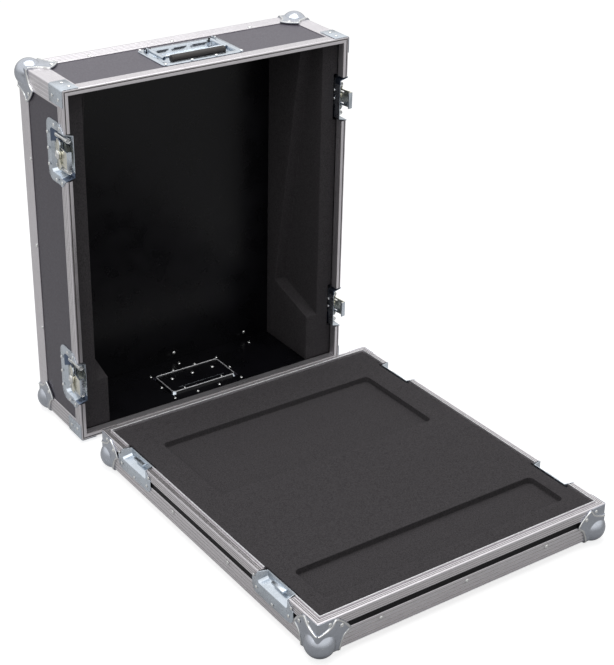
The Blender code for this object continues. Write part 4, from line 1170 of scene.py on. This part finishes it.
def handles():
    rod, sleeve, ring, edge = bail(), grip(), washer(), box_bead()
    # Short dark coils along each pan's far side: painted shade for the slits there
    springs = [
        (wears(coil(1.0 * mm, 0.6 * mm, 1.9 * mm, turns), PAINTED_SHADE_DARK_STEEL), start * mm)
        for turns, start in ((11, -22), (12, 11), (14, 49))
    ]
    back = -10.9 * mm
    pins = facing(((-41, 13.2), (0, 13.2), (41, 13.2)), back, DOWN, 1.1)
    pins += facing(((-37.5, -24.2), (37.5, -24.2)), back, DOWN, 0.7)
    front_spots = ((-22, -42), (22, -42), (-69, 41), (69, 41), (-69, -41), (69, -41))
    front = facing(front_spots, 1.4 * mm, UP, 0.8)
    tail_spots = (
        (-22, 43), (22, 43), (-22, -43), (22, -43), (-70, 0), (70, 0),
        (-67.5, 42.5), (67.5, 42.5), (-67.5, -42.5), (67.5, -42.5),
    )
    tails = facing(tail_spots, -8 * mm, DOWN, 0.9)
    for key, home in HANDLE_HOMES.items():
        dish = pressed("handle_dish", key, 0.5 * mm, PLATED, "cover")
        # The back of each pan is black
        inner_faces(dish, home, BLACK_AND_PAINTED_SHADE, behind_pan)
        handed_copy(edge, home, "handle_box_edge_" + key, "cover", "steel")
        parts = []
        for spring, start in springs:
            parts.append(copied(spring, home @ laid(UP, BACK, LEFT, (start, 32.3 * mm, -3 * mm))))
        for side in (-1, 1):
            spot = (side * 62.6 * mm, BAIL_PIVOT, BAIL_OUT)
            parts.append(copied(ring, home @ laid(BACK, (0, 0, side), (side, 0, 0), spot)))
        handed_in(joined("handle_spring_" + key, *parts), "cover", "steel")
        ridge = block((-46 * mm, -18.9 * mm, -11.5 * mm), (46 * mm, -18 * mm, -10.7 * mm), 0.25 * mm, 2)
        piece = joined("handle_ridge_" + key, wears(set_in(ridge, home), PLATED))
        handed_in(smooth(piece), "cover", "steel")
        rivets("handle_pins_" + key, "cover", home, pins)
        pivot = home @ Matrix.Translation((0, BAIL_PIVOT, BAIL_OUT))
        handed_copy(rod, pivot, "bail_steel_" + key, "bail_" + key, "steel", "handle_bail_" + key)
        handed_copy(sleeve, pivot, "bail_grip_" + key, "bail_" + key, "grip", "handle_bail_" + key)
        rivets("rivets_handle_" + key, "cover", home, front)
        rivets("rivet_tails_handle_" + key, "cover", home, tails)
    put_away(rod, sleeve, ring, edge, *(spring for spring, _ in springs))


# Foam

def foam(node_name, name, body, axes):
    """A foam block cut to its solid's form, with soft edges, and divided along its long axes."""
    piece = softened(from_solid(node_name, name), 1.1 * mm, 3, 30)
    low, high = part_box(node_name)
    step = 18 * mm
    with shaping(piece):
        for axis in axes:
            length = high[axis] - low[axis]
            count = int(length / step)
            for index in range(1, count):
                point = list(low)
                point[axis] += length * index / count
                everything()
                bpy.ops.mesh.bisect(plane_co=point, plane_no=(RIGHT, BACK, UP)[axis])
    wears(smooth(piece, degrees=40), FOAM)
    handed_in(piece, body, "foam", node_name)


boards()
cover_edges()
tray_edges()
rim_set("cover", cover_rim_outline(), COVER, (RIGHT, BACK, UP), ("bottom", "top"))
TRAY_FACE = TRAY @ Matrix.Translation((0, 0, TRAY_HEIGHT))
rim_set("tray", tray_rim_outline(), TRAY_FACE, (RIGHT, DOWN, FRONT), ("far", "near"))
ball_corners()
braces()
latches()
fitting_rivets()
board_rivets()
handles()
foam("tray_foam", "foam_tray", "tray", (0, 1))
foam("side_foam_left", "foam_side_left", "cover", (1, 2))
foam("side_foam_right", "foam_side_right", "cover", (1, 2))
put_away(RIVET)


# The stage: floor, light and camera

def floor():
    """A floor that is pale to the camera, and glows in shiny faces as a painted reflection: brighter far
    off, and dimmer under the case as painted shade.
    """
    take()
    bpy.ops.mesh.primitive_plane_add(size=9)
    plane = named("floor")
    look = Finish("pale floor with painted reflection")
    rays = look.node("ShaderNodeLightPath").outputs
    place = look.node("ShaderNodeSeparateXYZ")
    look.feed(look.place, place.inputs["Vector"])
    x, y = place.outputs["X"], place.outputs["Y"]
    # Painted reflection: how much the floor glows in shiny faces by where it lies, low under the case as
    # painted shade
    along = look.sum("ADD", look.spread(y, -0.5, 0.2, 0.02, 0.3), look.spread(y, -1.3, -0.6, 0.35, 0.0))
    across = look.sum("ADD", look.spread(x, -1.5, -0.6, 1.0, 0.6), look.spread(x, -0.3, 0.1, 0.0, 0.4))
    shine = look.sum("MULTIPLY", rays["Is Glossy Ray"], look.sum("MULTIPLY", along, across))
    seen = look.sum("MULTIPLY", rays["Is Camera Ray"], FLOOR_SEEN)
    look.set(Base_Color=(0.48, 0.48, 0.48, 1), Roughness=0.9, Emission_Color=(1, 1, 1, 1))
    look.set(Emission_Strength=look.sum("ADD", seen, shine))
    wears(plane, look.material)


def surroundings():
    """A studio that is white to the camera, brighter overhead, and softer as a light than in shiny faces."""
    world = bpy.data.worlds.new("surroundings")
    bpy.context.scene.world = world
    world.use_nodes = True
    tree = world.node_tree
    rays = tree.nodes.new("ShaderNodeLightPath")
    way = tree.nodes.new("ShaderNodeTexCoord")
    parts = tree.nodes.new("ShaderNodeSeparateXYZ")
    tree.links.new(way.outputs["Generated"], parts.inputs["Vector"])

    def by_height(low, high, dim, bright):
        level = tree.nodes.new("ShaderNodeMapRange")
        for value, socket in zip((low, high, dim, bright), level.inputs[1:5]):
            socket.default_value = value
        tree.links.new(parts.outputs["Z"], level.inputs["Value"])
        return level.outputs["Result"]

    def chosen(kind, first, second):
        pick = tree.nodes.new("ShaderNodeMix")
        tree.links.new(rays.outputs[kind], pick.inputs[0])
        for value, socket in ((first, pick.inputs[2]), (second, pick.inputs[3])):
            if isinstance(value, float):
                socket.default_value = value
            else:
                tree.links.new(value, socket)
        return pick.outputs[0]

    soft = by_height(*SOFT_HEIGHTS, *SOFT_LIGHT)
    shine = by_height(*SHINE_HEIGHTS, *SHINE_LIGHT)
    level = chosen("Is Camera Ray", chosen("Is Glossy Ray", soft, shine), 1.0)
    tree.links.new(level, tree.nodes["Background"].inputs["Strength"])
    tree.nodes["Background"].inputs["Color"].default_value = (1, 1, 1, 1)


def lamp(name, place, aim, size, power):
    light = bpy.data.lights.new(name, "AREA")
    light.shape = "RECTANGLE"
    light.size, light.size_y = size, size
    light.energy = power
    stand = bpy.data.objects.new(name, light)
    bpy.context.scene.collection.objects.link(stand)
    stand.location = place
    stand.rotation_euler = (Vector(place) - Vector(aim)).to_track_quat("Z", "Y").to_euler()


def camera(place, turn, rise, roll, lens):
    """The camera where the photograph was taken from, its angles in degrees."""
    turn, rise, roll = math.radians(turn), math.radians(rise), math.radians(roll)
    back = Vector((math.sin(turn) * math.cos(rise), -math.cos(turn) * math.cos(rise), math.sin(rise)))
    right = (-back).cross(Vector(UP)).normalized()
    up = right.cross(-back)
    across = math.cos(roll) * right + math.sin(roll) * up
    upwards = math.cos(roll) * up - math.sin(roll) * right
    data = bpy.data.cameras.new("camera")
    data.sensor_fit = "VERTICAL"
    data.sensor_height = 36
    data.sensor_width = 36
    data.lens = lens
    data.clip_start = 0.05
    stand = bpy.data.objects.new("camera", data)
    bpy.context.scene.collection.objects.link(stand)
    stand.matrix_world = laid(across, upwards, back, place)
    bpy.context.scene.camera = stand


floor()
surroundings()
lamp("overhead", place=(0, 0.1, 2.4), aim=(0, 0.1, 0), size=2.0, power=27)
lamp("left", place=(-1.5, -0.5, 1.5), aim=(-0.2, 0.2, 0.4), size=1.0, power=2.6)
camera(place=(-1.1974, -1.7431, 1.3216), turn=-34.667, rise=26.972, roll=0.460, lens=83.2)
bpy.context.scene.view_settings.view_transform = "Standard"
